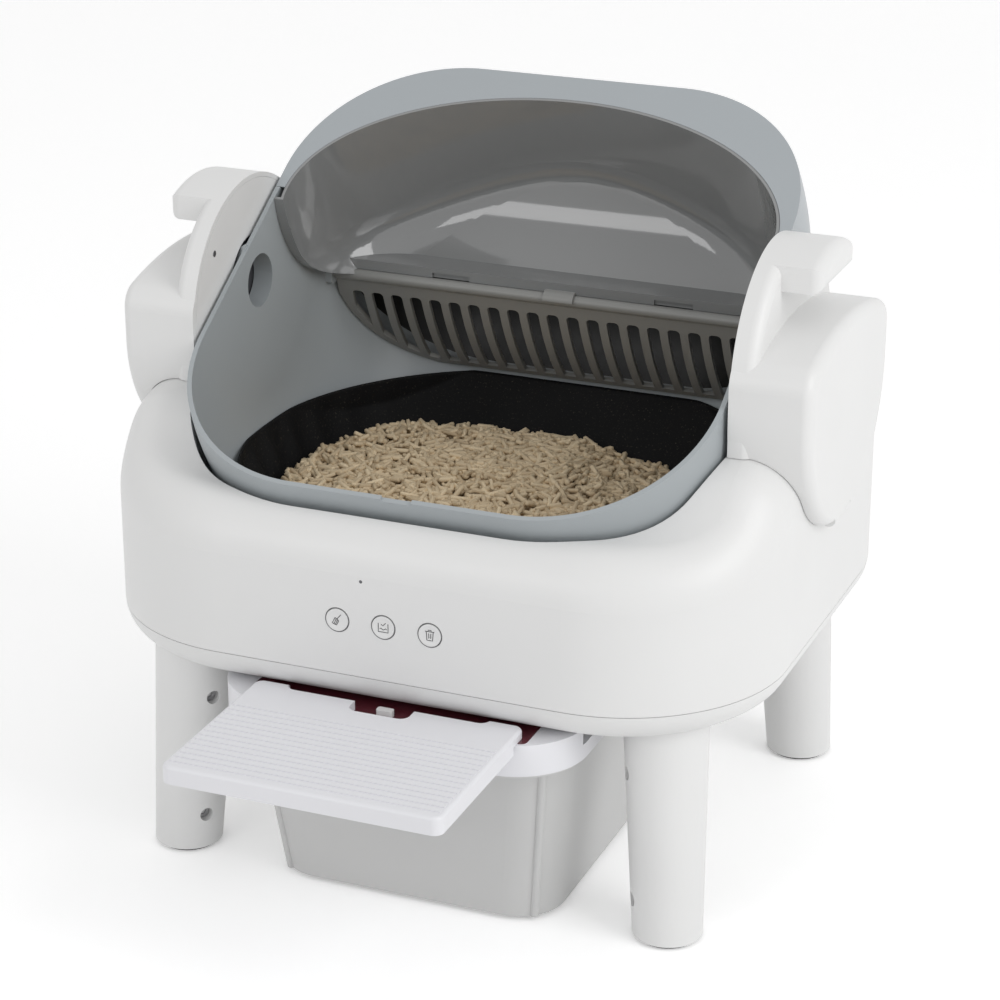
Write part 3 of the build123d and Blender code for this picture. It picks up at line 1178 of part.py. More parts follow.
with BuildPart() as bin_collar:
    with BuildSketch(level(COLLAR_BASE)):
        plan(COLLAR_HALF_WIDTH, COLLAR_FRONT, COLLAR_BACK, COLLAR_CORNER)
    extrude(amount=COLLAR_HEIGHT)
    with BuildSketch(level(COLLAR_BASE)):
        plan(
            COLLAR_HALF_WIDTH - COLLAR_WALL,
            COLLAR_FRONT - COLLAR_WALL,
            COLLAR_BACK - COLLAR_WALL,
            COLLAR_CORNER - COLLAR_WALL,
        )
        with Locations((0, (MOUTH_BACK - MOUTH_FRONT) / 2)):
            Rectangle(
                2 * (MOUTH_HALF_WIDTH + COLLAR_INNER_WALL),
                MOUTH_FRONT + MOUTH_BACK + 2 * COLLAR_INNER_WALL,
                mode=Mode.SUBTRACT,
            )
    extrude(amount=COLLAR_HEIGHT - COLLAR_DECK, mode=Mode.SUBTRACT)
    with BuildSketch(level(COLLAR_BASE)):
        with Locations((0, (MOUTH_BACK - MOUTH_FRONT) / 2)):
            Rectangle(2 * MOUTH_HALF_WIDTH, MOUTH_FRONT + MOUTH_BACK)
    extrude(amount=COLLAR_HEIGHT, mode=Mode.SUBTRACT)
    with BuildSketch(level(COLLAR_TOP - RING_FLANGE)):
        plan(
            MOUTH_HALF_WIDTH + RING_LEDGE + RING_CLEARANCE,
            RING_FRONT + RING_CLEARANCE,
            MOUTH_BACK + RING_LEDGE + RING_CLEARANCE,
            RING_LEDGE,
        )
    extrude(amount=2 * RING_FLANGE, mode=Mode.SUBTRACT)
    for side in SIDES.values():
        with BuildSketch(level(GROOVE_FLOOR)):
            with Locations((side * (GROOVE_SIDE + 2 * GROOVE_DEPTH), -RUNNER_START - COLLAR_WALL / 3)):
                Rectangle(4 * GROOVE_DEPTH, 2 * COLLAR_FRONT, align=(Align.CENTER, Align.MIN))
        extrude(amount=GROOVE_TOP - GROOVE_FLOOR, mode=Mode.SUBTRACT)
        with BuildSketch(level(COLLAR_TOP - NOTCH_DEPTH)):
            with Locations((side * COLLAR_HALF_WIDTH, -NOTCH_START + NOTCH_LENGTH / 2)):
                Rectangle(2 * (COLLAR_HALF_WIDTH - MOUTH_HALF_WIDTH + COLLAR_INNER_WALL), NOTCH_LENGTH)
        extrude(amount=2 * NOTCH_DEPTH, mode=Mode.SUBTRACT)
        with BuildSketch(facing(-COLLAR_FRONT + COLLAR_WALL + COLLAR_INNER_WALL)):
            with Locations((side * TONGUE_OFFSET, (TONGUE_TOP + TONGUE_BASE) / 2)):
                Rectangle(TONGUE_WIDTH + 2 * TONGUE_CLEARANCE, TONGUE_THICKNESS + 2 * TONGUE_CLEARANCE)
        extrude(amount=2 * COLLAR_WALL, mode=Mode.SUBTRACT)
    with BuildSketch(level(DECK_UNDER - COLLAR_INNER_WALL)):
        with Locations((0, -LATCH_BEHIND)):
            Rectangle(LATCH_WIDTH + 2 * LATCH_CLEARANCE, LATCH_DEPTH + 2 * LATCH_CLEARANCE)
    extrude(amount=2 * COLLAR_DECK, mode=Mode.SUBTRACT)
bin_collar.part.label = "bin_collar"
export_step(bin_collar.part, "parts/bin_collar.step")

with BuildPart() as bag_ring:
    with BuildSketch(level(COLLAR_TOP - RING_FLANGE)):
        plan(MOUTH_HALF_WIDTH + RING_LEDGE, RING_FRONT, MOUTH_BACK + RING_LEDGE, RING_LEDGE)
    extrude(amount=RING_FLANGE)
    with BuildSketch(level(COLLAR_TOP - RING_FLANGE)):
        plan(
            MOUTH_HALF_WIDTH - RING_OPENING_INSET + RING_WALL,
            MOUTH_FRONT - RING_OPENING_INSET + RING_WALL,
            MOUTH_BACK - RING_OPENING_INSET + RING_WALL,
            RING_OPENING_INSET + RING_WALL,
        )
    extrude(amount=-RING_SKIRT)
    with BuildSketch(level(COLLAR_TOP)):
        plan(
            MOUTH_HALF_WIDTH - RING_OPENING_INSET,
            MOUTH_FRONT - RING_OPENING_INSET,
            MOUTH_BACK - RING_OPENING_INSET,
            RING_OPENING_INSET,
        )
        with Locations((0, -LATCH_BEHIND)):
            Rectangle(LATCH_WIDTH + 2 * LATCH_CLEARANCE, LATCH_DEPTH + 2 * LATCH_CLEARANCE)
    extrude(amount=-2 * RING_SKIRT, mode=Mode.SUBTRACT)
bag_ring.part.label = "bag_ring"
export_step(bag_ring.part, "parts/bag_ring.step")


def bin_side(share):
    """Half width of the bin at a share of its height."""
    return COLLAR_HALF_WIDTH - BIN_FOOT_INSET + share * (BIN_FOOT_INSET - BIN_TOP_INSET)


def bin_front(share):
    """Front of the bin at a share of its height."""
    return BODY_HALF_DEPTH - BIN_FOOT_SETBACK + share * (BIN_FOOT_SETBACK - BIN_TOP_SETBACK)


def bin_block(inset, floor, top):
    """Tapered block of the bin between two heights, its sides moved inwards by inset."""
    with BuildPart(mode=Mode.PRIVATE) as form:
        for height in (floor, top):
            share = (height - BIN_FLOOR_HEIGHT) / (COLLAR_BASE - BIN_FLOOR_HEIGHT)
            with BuildSketch(level(height)):
                plan(
                    bin_side(share) - inset,
                    bin_front(share) - inset,
                    COLLAR_BACK - BIN_BACK_INSET * (2 - share) - inset,
                    BIN_CORNER - inset,
                )
        loft()
    return form.part


with BuildPart() as waste_bin:
    add(bin_block(0, BIN_FLOOR_HEIGHT, COLLAR_BASE))
    with BuildSketch(level(COLLAR_BASE)):
        plan(COLLAR_HALF_WIDTH - BIN_RIM, COLLAR_FRONT - BIN_RIM, COLLAR_BACK - BIN_RIM, COLLAR_CORNER - BIN_RIM)
    extrude(amount=-BIN_RIM)
    for side in SIDES.values():
        with BuildPart(mode=Mode.PRIVATE) as corner_bead:
            for share, height in ((0, BIN_FLOOR_HEIGHT), (1, COLLAR_BASE)):
                turn = math.radians(BIN_BEAD_ANGLE)
                bead_x = bin_side(share) - BIN_CORNER + BIN_CORNER * math.sin(turn)
                bead_y = bin_front(share) - BIN_CORNER + BIN_CORNER * math.cos(turn)
                with BuildSketch(level(height)):
                    with Locations((side * bead_x, -bead_y)):
                        Circle(BIN_BEAD)
            loft()
        add(corner_bead.part)
        with BuildSketch(Plane.YZ.offset(side * BIN_GUSSET_X - BIN_GUSSET_WIDTH / 2)):
            Polygon(
                (BODY_Y - COLLAR_FRONT + BIN_RIM + COLLAR_WALL, COLLAR_BASE),
                (BODY_Y - MOUTH_FRONT, COLLAR_BASE),
                (BODY_Y - MOUTH_FRONT, COLLAR_BASE - BIN_GUSSET_DROP),
                (BODY_Y - bin_front(1), COLLAR_BASE - BIN_GUSSET_DROP),
                align=None,
            )
        extrude(amount=BIN_GUSSET_WIDTH)
    add(bin_block(BIN_WALL, BIN_FLOOR_HEIGHT + BIN_WALL, COLLAR_BASE + BIN_RIM), mode=Mode.SUBTRACT)
waste_bin.part.label = "waste_bin"
export_step(waste_bin.part, "parts/waste_bin.step")

with BuildPart() as bin_runners:
    for side in SIDES.values():
        inner = side * (GROOVE_SIDE + RUNNER_CLEARANCE)
        outer = side * (COLLAR_HALF_WIDTH + RUNNER_CLEARANCE + RUNNER_LIP)
        with BuildSketch(facing(COLLAR_BACK)):
            with Locations(((inner + outer) / 2, GROOVE_FLOOR + RUNNER_CLEARANCE)):
                Rectangle(abs(outer - inner), RUNNER_LIP, align=(Align.CENTER, Align.MIN))
            with Locations((outer - side * RUNNER_LIP / 2, GROOVE_FLOOR + RUNNER_CLEARANCE)):
                Rectangle(
                    RUNNER_LIP,
                    BODY_BOTTOM - GROOVE_FLOOR - RUNNER_CLEARANCE,
                    align=(Align.CENTER, Align.MIN),
                )
        extrude(amount=COLLAR_BACK + RUNNER_START)
bin_runners.part.label = "bin_runners"
export_step(bin_runners.part, "parts/bin_runners.step")

# Step board on the drawer's front, held by two tongues, and the drawer's press latch
APRON = COLLAR_FRONT + TONGUE_CLEARANCE
with BuildPart() as step_board:
    with BuildSketch(level(STEP_TOP)):
        plan(STEP_HALF_WIDTH, STEP_FRONT, -STEP_REAR, STEP_CORNER)
    extrude(amount=-STEP_PLATE)
    fillet(step_board.faces().sort_by(Axis.Z)[-1].edges(), STEP_ROUND)
    with BuildSketch(level(STEP_TOP - STEP_PLATE)):
        plan(STEP_HALF_WIDTH, STEP_FRONT, -APRON, STEP_CORNER)
        with Locations((0, -APRON)):
            Rectangle(2 * STEP_HALF_WIDTH, STEP_CORNER, align=(Align.CENTER, Align.MAX))
    extrude(amount=STEP_PLATE - STEP_SKIRT)
    with BuildSketch(level(STEP_TOP - STEP_PLATE)):
        plan(STEP_HALF_WIDTH - STEP_WALL, STEP_FRONT - STEP_WALL, -APRON - STEP_CORNER, STEP_CORNER / 2)
    extrude(amount=-STEP_SKIRT, mode=Mode.SUBTRACT)
    for side in SIDES.values():
        with BuildSketch(level(STEP_TOP - STEP_PLATE)):
            with Locations((side * TONGUE_OFFSET, -APRON)):
                Rectangle(TONGUE_WIDTH, STEP_CORNER, align=(Align.CENTER, Align.MAX))
        extrude(amount=TONGUE_BASE - STEP_TOP + STEP_PLATE)
        with BuildSketch(level(TONGUE_BASE)):
            with Locations((side * TONGUE_OFFSET, -APRON - STEP_CORNER)):
                Rectangle(TONGUE_WIDTH, STEP_CORNER + TONGUE_REACH, align=(Align.CENTER, Align.MIN))
        extrude(amount=TONGUE_THICKNESS)
    with BuildSketch(level(STEP_TOP)):
        with Locations((0, -STEP_REAR)):
            RectangleRounded(
                2 * STEP_SCALLOP_HALF_WIDTH, 2 * STEP_SCALLOP_DEPTH, STEP_SCALLOP_CORNER
            )
            RectangleRounded(2 * STEP_NOTCH_HALF_WIDTH, 2 * STEP_NOTCH_DEPTH, STEP_CORNER)
    extrude(amount=-2 * STEP_PLATE, mode=Mode.SUBTRACT)
    with BuildSketch(level(STEP_TOP)):
        for rib in range(STEP_RIBS):
            with Locations((0, -STEP_FRONT + STEP_RIB_START + rib * STEP_RIB_PITCH)):
                Rectangle(2 * (STEP_HALF_WIDTH - STEP_RIB_INSET), STEP_RIB_WIDTH)
    extrude(amount=STEP_RIB_HEIGHT)
step_board.part.label = "step_board"
export_step(step_board.part, "parts/step_board.step")

with BuildPart() as drawer_latch:
    with BuildSketch(level(COLLAR_TOP + LATCH_PROUD)):
        with Locations((0, -LATCH_BEHIND)):
            RectangleRounded(LATCH_WIDTH, LATCH_DEPTH, LATCH_BASE)
    extrude(amount=DECK_UNDER - COLLAR_TOP - LATCH_PROUD - LATCH_CLEARANCE)
    with BuildSketch(level(DECK_UNDER - LATCH_CLEARANCE)):
        with Locations((0, -LATCH_BEHIND)):
            Rectangle(LATCH_WIDTH + 2 * LATCH_BASE, LATCH_DEPTH + 2 * LATCH_BASE)
    extrude(amount=-LATCH_BASE)
drawer_latch.part.label = "drawer_latch"
export_step(drawer_latch.part, "parts/drawer_latch.step")
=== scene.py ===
"""Dressed scene of a self-cleaning litter box, laid out as an add-on and run as a script.

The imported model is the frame. Its rigid pieces keep their shapes and get moulded finishes here.
The loose litter, the soft liner and the marks on the buttons are new surfaces, worked out on grids.
Everything is in metres: +X to the right seen from the front, +Y to the back, +Z up.
"""
import json
import math

import bpy
import numpy as np
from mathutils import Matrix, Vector


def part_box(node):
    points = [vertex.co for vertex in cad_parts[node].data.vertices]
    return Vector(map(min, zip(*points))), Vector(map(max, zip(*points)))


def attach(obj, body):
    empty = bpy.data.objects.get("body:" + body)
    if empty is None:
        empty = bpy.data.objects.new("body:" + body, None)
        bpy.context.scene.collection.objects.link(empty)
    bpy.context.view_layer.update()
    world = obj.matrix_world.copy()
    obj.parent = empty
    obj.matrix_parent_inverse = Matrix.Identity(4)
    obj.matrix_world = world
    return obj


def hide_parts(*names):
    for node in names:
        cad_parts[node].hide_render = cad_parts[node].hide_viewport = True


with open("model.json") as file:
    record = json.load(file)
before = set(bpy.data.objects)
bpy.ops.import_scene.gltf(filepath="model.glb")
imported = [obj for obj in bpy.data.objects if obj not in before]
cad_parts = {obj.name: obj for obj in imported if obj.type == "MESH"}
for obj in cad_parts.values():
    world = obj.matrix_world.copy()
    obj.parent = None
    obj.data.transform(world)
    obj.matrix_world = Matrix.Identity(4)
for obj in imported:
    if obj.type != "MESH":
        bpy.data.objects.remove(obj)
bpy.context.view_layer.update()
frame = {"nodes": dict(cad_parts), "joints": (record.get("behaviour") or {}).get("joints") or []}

bl_info = {
    "name": "Litter box dresser",
    "version": (1, 0, 0),
    "blender": (4, 5, 0),
    "location": "View3D > Sidebar > Litter box",
    "description": "Finishes, litter, liner and stage for the packed litter box",
    "category": "Object",
}

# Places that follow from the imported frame
BOWL_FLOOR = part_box("drum_bowl")[0][2]
LINER_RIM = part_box("drum_liner")[1][2]
JOINTS = {joint["name"]: joint for joint in frame["joints"]}
AXIS_Y, AXIS_Z = JOINTS["drum_spin"]["pos_m"][1:]
FRONT_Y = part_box("upper_shell")[0][1]
BUTTON_BODIES = {"clean_button": "clean", "level_button": "level", "empty_button": "empty"}

# Raked litter: the model's level top, with low mounds on it and a scoop taken out at the back right
MOUND_RISE, MOUND_RADIUS = 0.004, 0.150
MOUNDS = ((-0.105, -0.035), (-0.045, 0.045), (-0.010, -0.085), (0.075, -0.060))
SCOOP_DEPTH, SCOOP_RADIUS, SCOOP_SPOT = 0.020, 0.420, (0.150, 0.120)
LITTER_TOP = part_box("litter_bed")[1][2]

# Edge of the litter: how far below its top it is taken, and its gap to the bowl
EDGE_DROP, EDGE_INSET = 0.012, 0.005

# Damp spot in the litter, from the drum's middle, and how far it spreads to the right and back
STAIN_SPOT, STAIN_REACH = (0.087, -0.062), (0.030, 0.034)

# Grate as the model has it: its fall from hinge to foot, back and down. The painted shade, with some soil,
# starts behind its plane
GRATE_FALL, SHADE_AND_SOIL_START = (0.058, 0.093), 0.012

# Button caps as the model has them: a hollow of this radius in the cap's front, and the cap's own radius
CAP_HOLLOW, CAP_RADIUS = 0.0566, 0.0095

# Ink on the caps and painted gap shade on the shell: half a stroke's width, a shade ring's gap and growth,
# lifts and thickness
STROKE_HALF, STROKE_LIFT = 0.00032, 0.00012
RING_GAP, RING_GROWTH, RING_LIFT = 0.0004, 1.07, 0.0001
INK_THICKNESS = 0.0001

# Lamps: place from the camera's target, and size
KEY_PLACE, KEY_SIZE = (2.7, -0.7, 1.7), (1.6, 2.2)
FRONT_PLACE, FRONT_SIZE = (-0.83, -2.53, 1.3), (1.2, 0.8)

# Drum skin as the model has it: radius, half width and corner of the form inside its wall
DRUM_WALL = 0.004
DRUM_INNER_RADIUS = AXIS_Z - BOWL_FLOOR - DRUM_WALL
DRUM_INNER_HALF = 0.227
DRUM_INNER_CORNER = 0.133


def colour_setting(name, description, default):
    """Colour of a finish, as a property."""
    return bpy.props.FloatVectorProperty(
        name=name, description=description, default=default, subtype="COLOR"
    )


def length_setting(name, description, default):
    """Length in metres, as a property with digits enough for thin pieces."""
    return bpy.props.FloatProperty(
        name=name, description=description, default=default, subtype="DISTANCE", precision=5
    )


def angle_setting(name, description, degrees):
    """Angle, as a property."""
    return bpy.props.FloatProperty(
        name=name, description=description, default=math.radians(degrees), subtype="ANGLE"
    )


def power_setting(name, description, default):
    """Power of a lamp in watts, as a property."""
    return bpy.props.FloatProperty(name=name, description=description, default=default, subtype="POWER")


class LitterSettings(bpy.types.PropertyGroup):
    """Loose pellets in the bowl."""

    pellets: bpy.props.IntProperty(name="Pellets", description="Number of loose pellets", default=5200)
    seed: bpy.props.IntProperty(name="Seed", description="Seed of the random scatter", default=7)
    radius: length_setting("Radius", "Radius of one pellet", 0.0023)
    length: length_setting("Length", "Mean length of one pellet", 0.0155)
    dry: colour_setting("Dry", "Colour of a dry pellet", (0.88, 0.73, 0.51))
    dark: colour_setting("Dark", "Colour of a dark pellet", (0.32, 0.22, 0.12))


class LinerSettings(bpy.types.PropertyGroup):
    """Soft black liner in the bowl."""

    fold_depth: length_setting("Fold depth", "Depth of the folds at the left", 0.007)
    folds: bpy.props.IntProperty(name="Folds", description="Number of folds round the liner", default=34)
    thickness: length_setting("Thickness", "Thickness of the liner", 0.0016)
    colour: colour_setting("Colour", "Colour of the liner", (0.005, 0.005, 0.0055))


class FinishSettings(bpy.types.PropertyGroup):
    """Colours of the moulded pieces."""

    white: colour_setting("White", "Base, legs and arms", (0.79, 0.79, 0.785))
    step: colour_setting("Step", "Step board", (0.80, 0.80, 0.83))
    bin: colour_setting("Bin", "Waste bin", (0.62, 0.62, 0.615))
    drum: colour_setting("Drum", "Drum bowl", (0.385, 0.415, 0.43))
    hood: colour_setting("Hood", "Hood shell", (0.39, 0.42, 0.44))
    panel: colour_setting("Panel", "Glossy inner panel of the hood", (0.23, 0.235, 0.235))
    grate: colour_setting("Grate", "Sieve grate", (0.27, 0.27, 0.26))
    ring: colour_setting("Ring", "Bag ring", (0.11, 0.012, 0.022))


class StageSettings(bpy.types.PropertyGroup):
    """Camera, floor and lamps."""

    azimuth: angle_setting("Azimuth", "Camera to the right of the front", 22.22)
    elevation: angle_setting("Elevation", "Camera above the horizon", 21.75)
    distance: length_setting("Distance", "Camera to its target", 2.52686)
    target: bpy.props.FloatVectorProperty(
        name="Target",
        description="Point that the camera looks at",
        default=(0.0058, 0.05821, 0.28842),
        subtype="XYZ",
    )
    lens: bpy.props.FloatProperty(name="Lens", description="Focal length on a 36 mm sensor", default=106.87)
    key: power_setting("Key", "Power of the lamp at the right", 34.0)
    fill: power_setting("Fill", "Power of the front lamp", 7.5)
    sky: bpy.props.FloatProperty(name="Sky", description="Strength of the even room light", default=0.68)
    glow: bpy.props.FloatProperty(name="Glow", description="Lift of the floor for the camera", default=0.28)


class LitterBoxSettings(bpy.types.PropertyGroup):
    """All settings of the dresser."""

    litter: bpy.props.PointerProperty(type=LitterSettings)
    liner: bpy.props.PointerProperty(type=LinerSettings)
    finish: bpy.props.PointerProperty(type=FinishSettings)
    stage: bpy.props.PointerProperty(type=StageSettings)


def shader_group(name, inputs, outputs):
    """Empty node group with float or colour sockets, and its input and output nodes."""
    group = bpy.data.node_groups.new(name, "ShaderNodeTree")
    kinds = {"value": "NodeSocketFloat", "colour": "NodeSocketColor"}
    for label, kind in inputs.items():
        group.interface.new_socket(label, in_out="INPUT", socket_type=kinds[kind])
    for label, kind in outputs.items():
        group.interface.new_socket(label, in_out="OUTPUT", socket_type=kinds[kind])
    return group, group.nodes.new("NodeGroupInput"), group.nodes.new("NodeGroupOutput")


def noise_node(tree, scale, detail, coords):
    """Noise texture on the given coordinates."""
    noise = tree.nodes.new("ShaderNodeTexNoise")
    noise.inputs["Scale"].default_value = scale
    noise.inputs["Detail"].default_value = detail
    tree.links.new(coords, noise.inputs["Vector"])
    return noise


def math_node(tree, operation, first, second):
    """Math node whose two inputs are sockets or numbers."""
    node = tree.nodes.new("ShaderNodeMath")
    node.operation = operation
    for socket, value in zip(node.inputs, (first, second)):
        if isinstance(value, (int, float)):
            socket.default_value = value
        else:
            tree.links.new(value, socket)
    return node.outputs[0]


def mix_colour(tree, factor, first, second):
    """Colour mix; each of its three inputs is a socket or a plain value."""
    node = tree.nodes.new("ShaderNodeMix")
    node.data_type = "RGBA"
    for socket, value in ((node.inputs[0], factor), (node.inputs[6], first), (node.inputs[7], second)):
        if isinstance(value, bpy.types.NodeSocket):
            tree.links.new(value, socket)
        else:
            socket.default_value = value
    return node.outputs[2]


def moulded_group():
    """Moulded plastic: slow mottle in colour and gloss, and a fine grain for the bump's height."""
    found = bpy.data.node_groups.get("moulded_plastic")
    if found:
        return found
    values = dict.fromkeys(("Mottle", "Roughness", "Gloss spread", "Grain"), "value")
    group, source, result = shader_group(
        "moulded_plastic",
        {"Colour": "colour", **values},
        {"Colour": "colour", "Roughness": "value", "Height": "value"},
    )
    coords = group.nodes.new("ShaderNodeTexCoord").outputs["Object"]
    slow = noise_node(group, 9.0, 3.0, coords).outputs["Fac"]
    fine = noise_node(group, 1.0, 2.0, coords)
    group.links.new(source.outputs["Grain"], fine.inputs["Scale"])
    shade = math_node(group, "MULTIPLY", slow, source.outputs["Mottle"])
    darker = mix_colour(group, shade, source.outputs["Colour"], (0.0, 0.0, 0.0, 1.0))
    group.links.new(darker, result.inputs["Colour"])
    centred = math_node(group, "SUBTRACT", slow, 0.5)
    spread = math_node(group, "MULTIPLY", centred, source.outputs["Gloss spread"])
    gloss = math_node(group, "ADD", spread, source.outputs["Roughness"])
    group.links.new(gloss, result.inputs["Roughness"])
    group.links.new(fine.outputs["Fac"], result.inputs["Height"])
    return group


def dust_group():
    """Dust: sharp specks where a fine noise peaks, thinned by a slow noise. Puts out a mask."""
    found = bpy.data.node_groups.get("settled_dust")
    if found:
        return found
    group, source, result = shader_group(
        "settled_dust", {"Size": "value", "Amount": "value"}, {"Mask": "value"}
    )
    coords = group.nodes.new("ShaderNodeTexCoord").outputs["Object"]
    specks = noise_node(group, 1.0, 2.0, coords)
    group.links.new(source.outputs["Size"], specks.inputs["Scale"])
    drift = noise_node(group, 14.0, 4.0, coords).outputs["Fac"]
    peaks = math_node(group, "SUBTRACT", specks.outputs["Fac"], 0.62)
    sharp = math_node(group, "MULTIPLY", peaks, 14.0)
    thinned = math_node(group, "MULTIPLY", sharp, drift)
    mask = group.nodes.new("ShaderNodeClamp")
    group.links.new(math_node(group, "MULTIPLY", thinned, source.outputs["Amount"]), mask.inputs["Value"])
    group.links.new(mask.outputs[0], result.inputs["Mask"])
    return group


def new_material(name):
    """Empty node material with its Principled shader."""
    material = bpy.data.materials.new(name)
    material.use_nodes = True
    return material, material.node_tree, material.node_tree.nodes["Principled BSDF"]


def add_bump(tree, shader, height, strength, distance):
    """Bump from a height socket into the shader's normal."""
    bump = tree.nodes.new("ShaderNodeBump")
    bump.inputs["Strength"].default_value = strength
    bump.inputs["Distance"].default_value = distance
    tree.links.new(height, bump.inputs["Height"])
    tree.links.new(bump.outputs["Normal"], shader.inputs["Normal"])


def moulded(
    name, colour, roughness, mottle=0.05, spread=0.12, grain=900.0, bump=0.08, coat=0.0, metallic=0.0
):
    """Moulded or cast finish from the shared group."""
    material, tree, shader = new_material(name)
    node = tree.nodes.new("ShaderNodeGroup")
    node.node_tree = moulded_group()
    node.inputs["Colour"].default_value = (*colour, 1.0)
    node.inputs["Mottle"].default_value = mottle
    node.inputs["Roughness"].default_value = roughness
    node.inputs["Gloss spread"].default_value = spread
    node.inputs["Grain"].default_value = grain
    tree.links.new(node.outputs["Colour"], shader.inputs["Base Color"])
    tree.links.new(node.outputs["Roughness"], shader.inputs["Roughness"])
    shader.inputs["Coat Weight"].default_value = coat
    shader.inputs["Coat Roughness"].default_value = 0.06
    shader.inputs["Metallic"].default_value = metallic
    add_bump(tree, shader, node.outputs["Height"], bump, 0.0004)
    return material


def dusty(name, colour, dust_colour, roughness, size, amount):
    """Dark soft finish with settled dust and a leathery bump."""
    material = moulded(name, colour, roughness, mottle=0.3, spread=0.2, grain=420.0, bump=0.25)
    tree = material.node_tree
    shader = tree.nodes["Principled BSDF"]
    shader.inputs["Specular IOR Level"].default_value = 0.2
    plain = shader.inputs["Base Color"].links[0].from_socket
    node = tree.nodes.new("ShaderNodeGroup")
    node.node_tree = dust_group()
    node.inputs["Size"].default_value = size
    node.inputs["Amount"].default_value = amount
    specked = mix_colour(tree, node.outputs["Mask"], plain, (*dust_colour, 1.0))
    tree.links.new(specked, shader.inputs["Base Color"])
    return material


def dress(material, *nodes):
    """Gives model nodes a finish."""
    for name in nodes:
        mesh = frame["nodes"][name].data
        mesh.materials.clear()
        mesh.materials.append(material)


def grid_quads(rows, columns, closed):
    """Corner numbers of the quads of a rows by columns grid of points, closed round its columns or open."""
    spans = columns if closed else columns - 1
    row, column = np.meshgrid(np.arange(rows - 1) * columns, np.arange(spans), indexing="ij")
    after = (column + 1) % columns
    corners = (row + column, row + after, row + columns + after, row + columns + column)
    return np.stack([corner.ravel() for corner in corners], axis=1)


def full_turn(count):
    """Even angles round a circle, the first one not repeated."""
    return np.linspace(0, 2 * np.pi, count, endpoint=False)


def flipped(faces):
    """Face list with every winding turned round."""
    return faces[:, ::-1].tolist()


def new_piece(name, points, faces, material, body, slot):
    """Mesh object from point and face arrays, riding on a body."""
    mesh = bpy.data.meshes.new(name)
    mesh.from_pydata(np.asarray(points, float).reshape(-1, 3).tolist(), [], faces)
    mesh.validate()
    mesh.polygons.foreach_set("use_smooth", np.ones(len(mesh.polygons), bool))
    mesh.materials.append(material)
    piece = bpy.data.objects.new(name, mesh)
    bpy.context.scene.collection.objects.link(piece)
    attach(piece, body)
    return piece


def drum_skin(x, inset):
    """Radius of the drum's inner form at a distance x from its middle plane, moved inwards.

    The form's profile is flat in the middle and ends in quarter circles:
    r(x) = R - c + sqrt(c^2 - (|x| - (h - c))^2) beyond the flat, for corner c and half width h.
    """
    corner = DRUM_INNER_CORNER - inset
    half = DRUM_INNER_HALF - inset
    over = np.clip(np.abs(x) - (half - corner), 0.0, corner)
    return DRUM_INNER_RADIUS - inset - corner + np.sqrt(corner**2 - over**2)


def bowl_reach(angle, height, inset):
    """Distance from the drum's middle to its inner form in a level direction, at a height, by halving.

    The wall is where the distance from the axis, hypot(y, z), equals the form's radius at x.
    """
    low = np.zeros_like(angle)
    high = np.full_like(angle, DRUM_INNER_HALF - inset)
    drop = height - AXIS_Z
    for _ in range(40):
        middle = (low + high) / 2
        outside = np.hypot(middle * np.sin(angle), drop) > drum_skin(middle * np.cos(angle), inset)
        high = np.where(outside, middle, high)
        low = np.where(outside, low, middle)
    return low


def litter_height(x, y):
    """Height of the raked litter: a level top with low mounds, scooped out at the back right.

    A mound of rise h adds h - R + sqrt(R^2 - d^2) at a distance d from its middle where that is above 0;
    the scoop takes the like away.
    """

    def cap(rise, radius, spot):
        away = (x - spot[0]) ** 2 + (y - AXIS_Y - spot[1]) ** 2
        return np.clip(rise - radius + np.sqrt(np.clip(radius**2 - away, 0.0, None)), 0.0, None)

    mounds = np.max([cap(MOUND_RISE, MOUND_RADIUS, spot) for spot in MOUNDS], axis=0)
    scoop = cap(SCOOP_DEPTH + MOUND_RISE, SCOOP_RADIUS, SCOOP_SPOT)
    return np.minimum(LITTER_TOP + mounds, LITTER_TOP + MOUND_RISE - scoop)


class LITTERBOX_OT_shells(bpy.types.Operator):
    """Gives the base, arms, drawer and step their moulded finishes"""

    bl_idname = "litterbox.shells"
    bl_label = "Base, arms and drawer"

    def execute(self, context):
        finish = context.scene.litter_box.finish
        white = moulded("white_satin", finish.white, 0.42, mottle=0.035, bump=0.05, grain=1100.0)
        dress(white, "lower_shell", "upper_shell", "left_arm_shell", "right_arm_shell", "bin_runners")
        dress(white, "front_left_leg", "front_right_leg", "back_left_leg", "back_right_leg")
        dress(moulded("plate_white", finish.white, 0.36, mottle=0.03), "left_arm_plate", "right_arm_plate")
        dress(moulded("collar_white", finish.step, 0.40, mottle=0.04), "bin_collar")
        dress(moulded("step_white", finish.step, 0.34, mottle=0.03, bump=0.04), "step_board")
        dress(moulded("latch_white", finish.white, 0.35), "drawer_latch")
        dress(moulded("bin_grey", finish.bin, 0.45, mottle=0.06), "waste_bin")
        dress(moulded("ring_red", finish.ring, 0.22, mottle=0.2, coat=0.5), "bag_ring")
        dress(moulded("button_white", finish.white, 0.30, mottle=0.03), *BUTTON_BODIES)
        return {"FINISHED"}


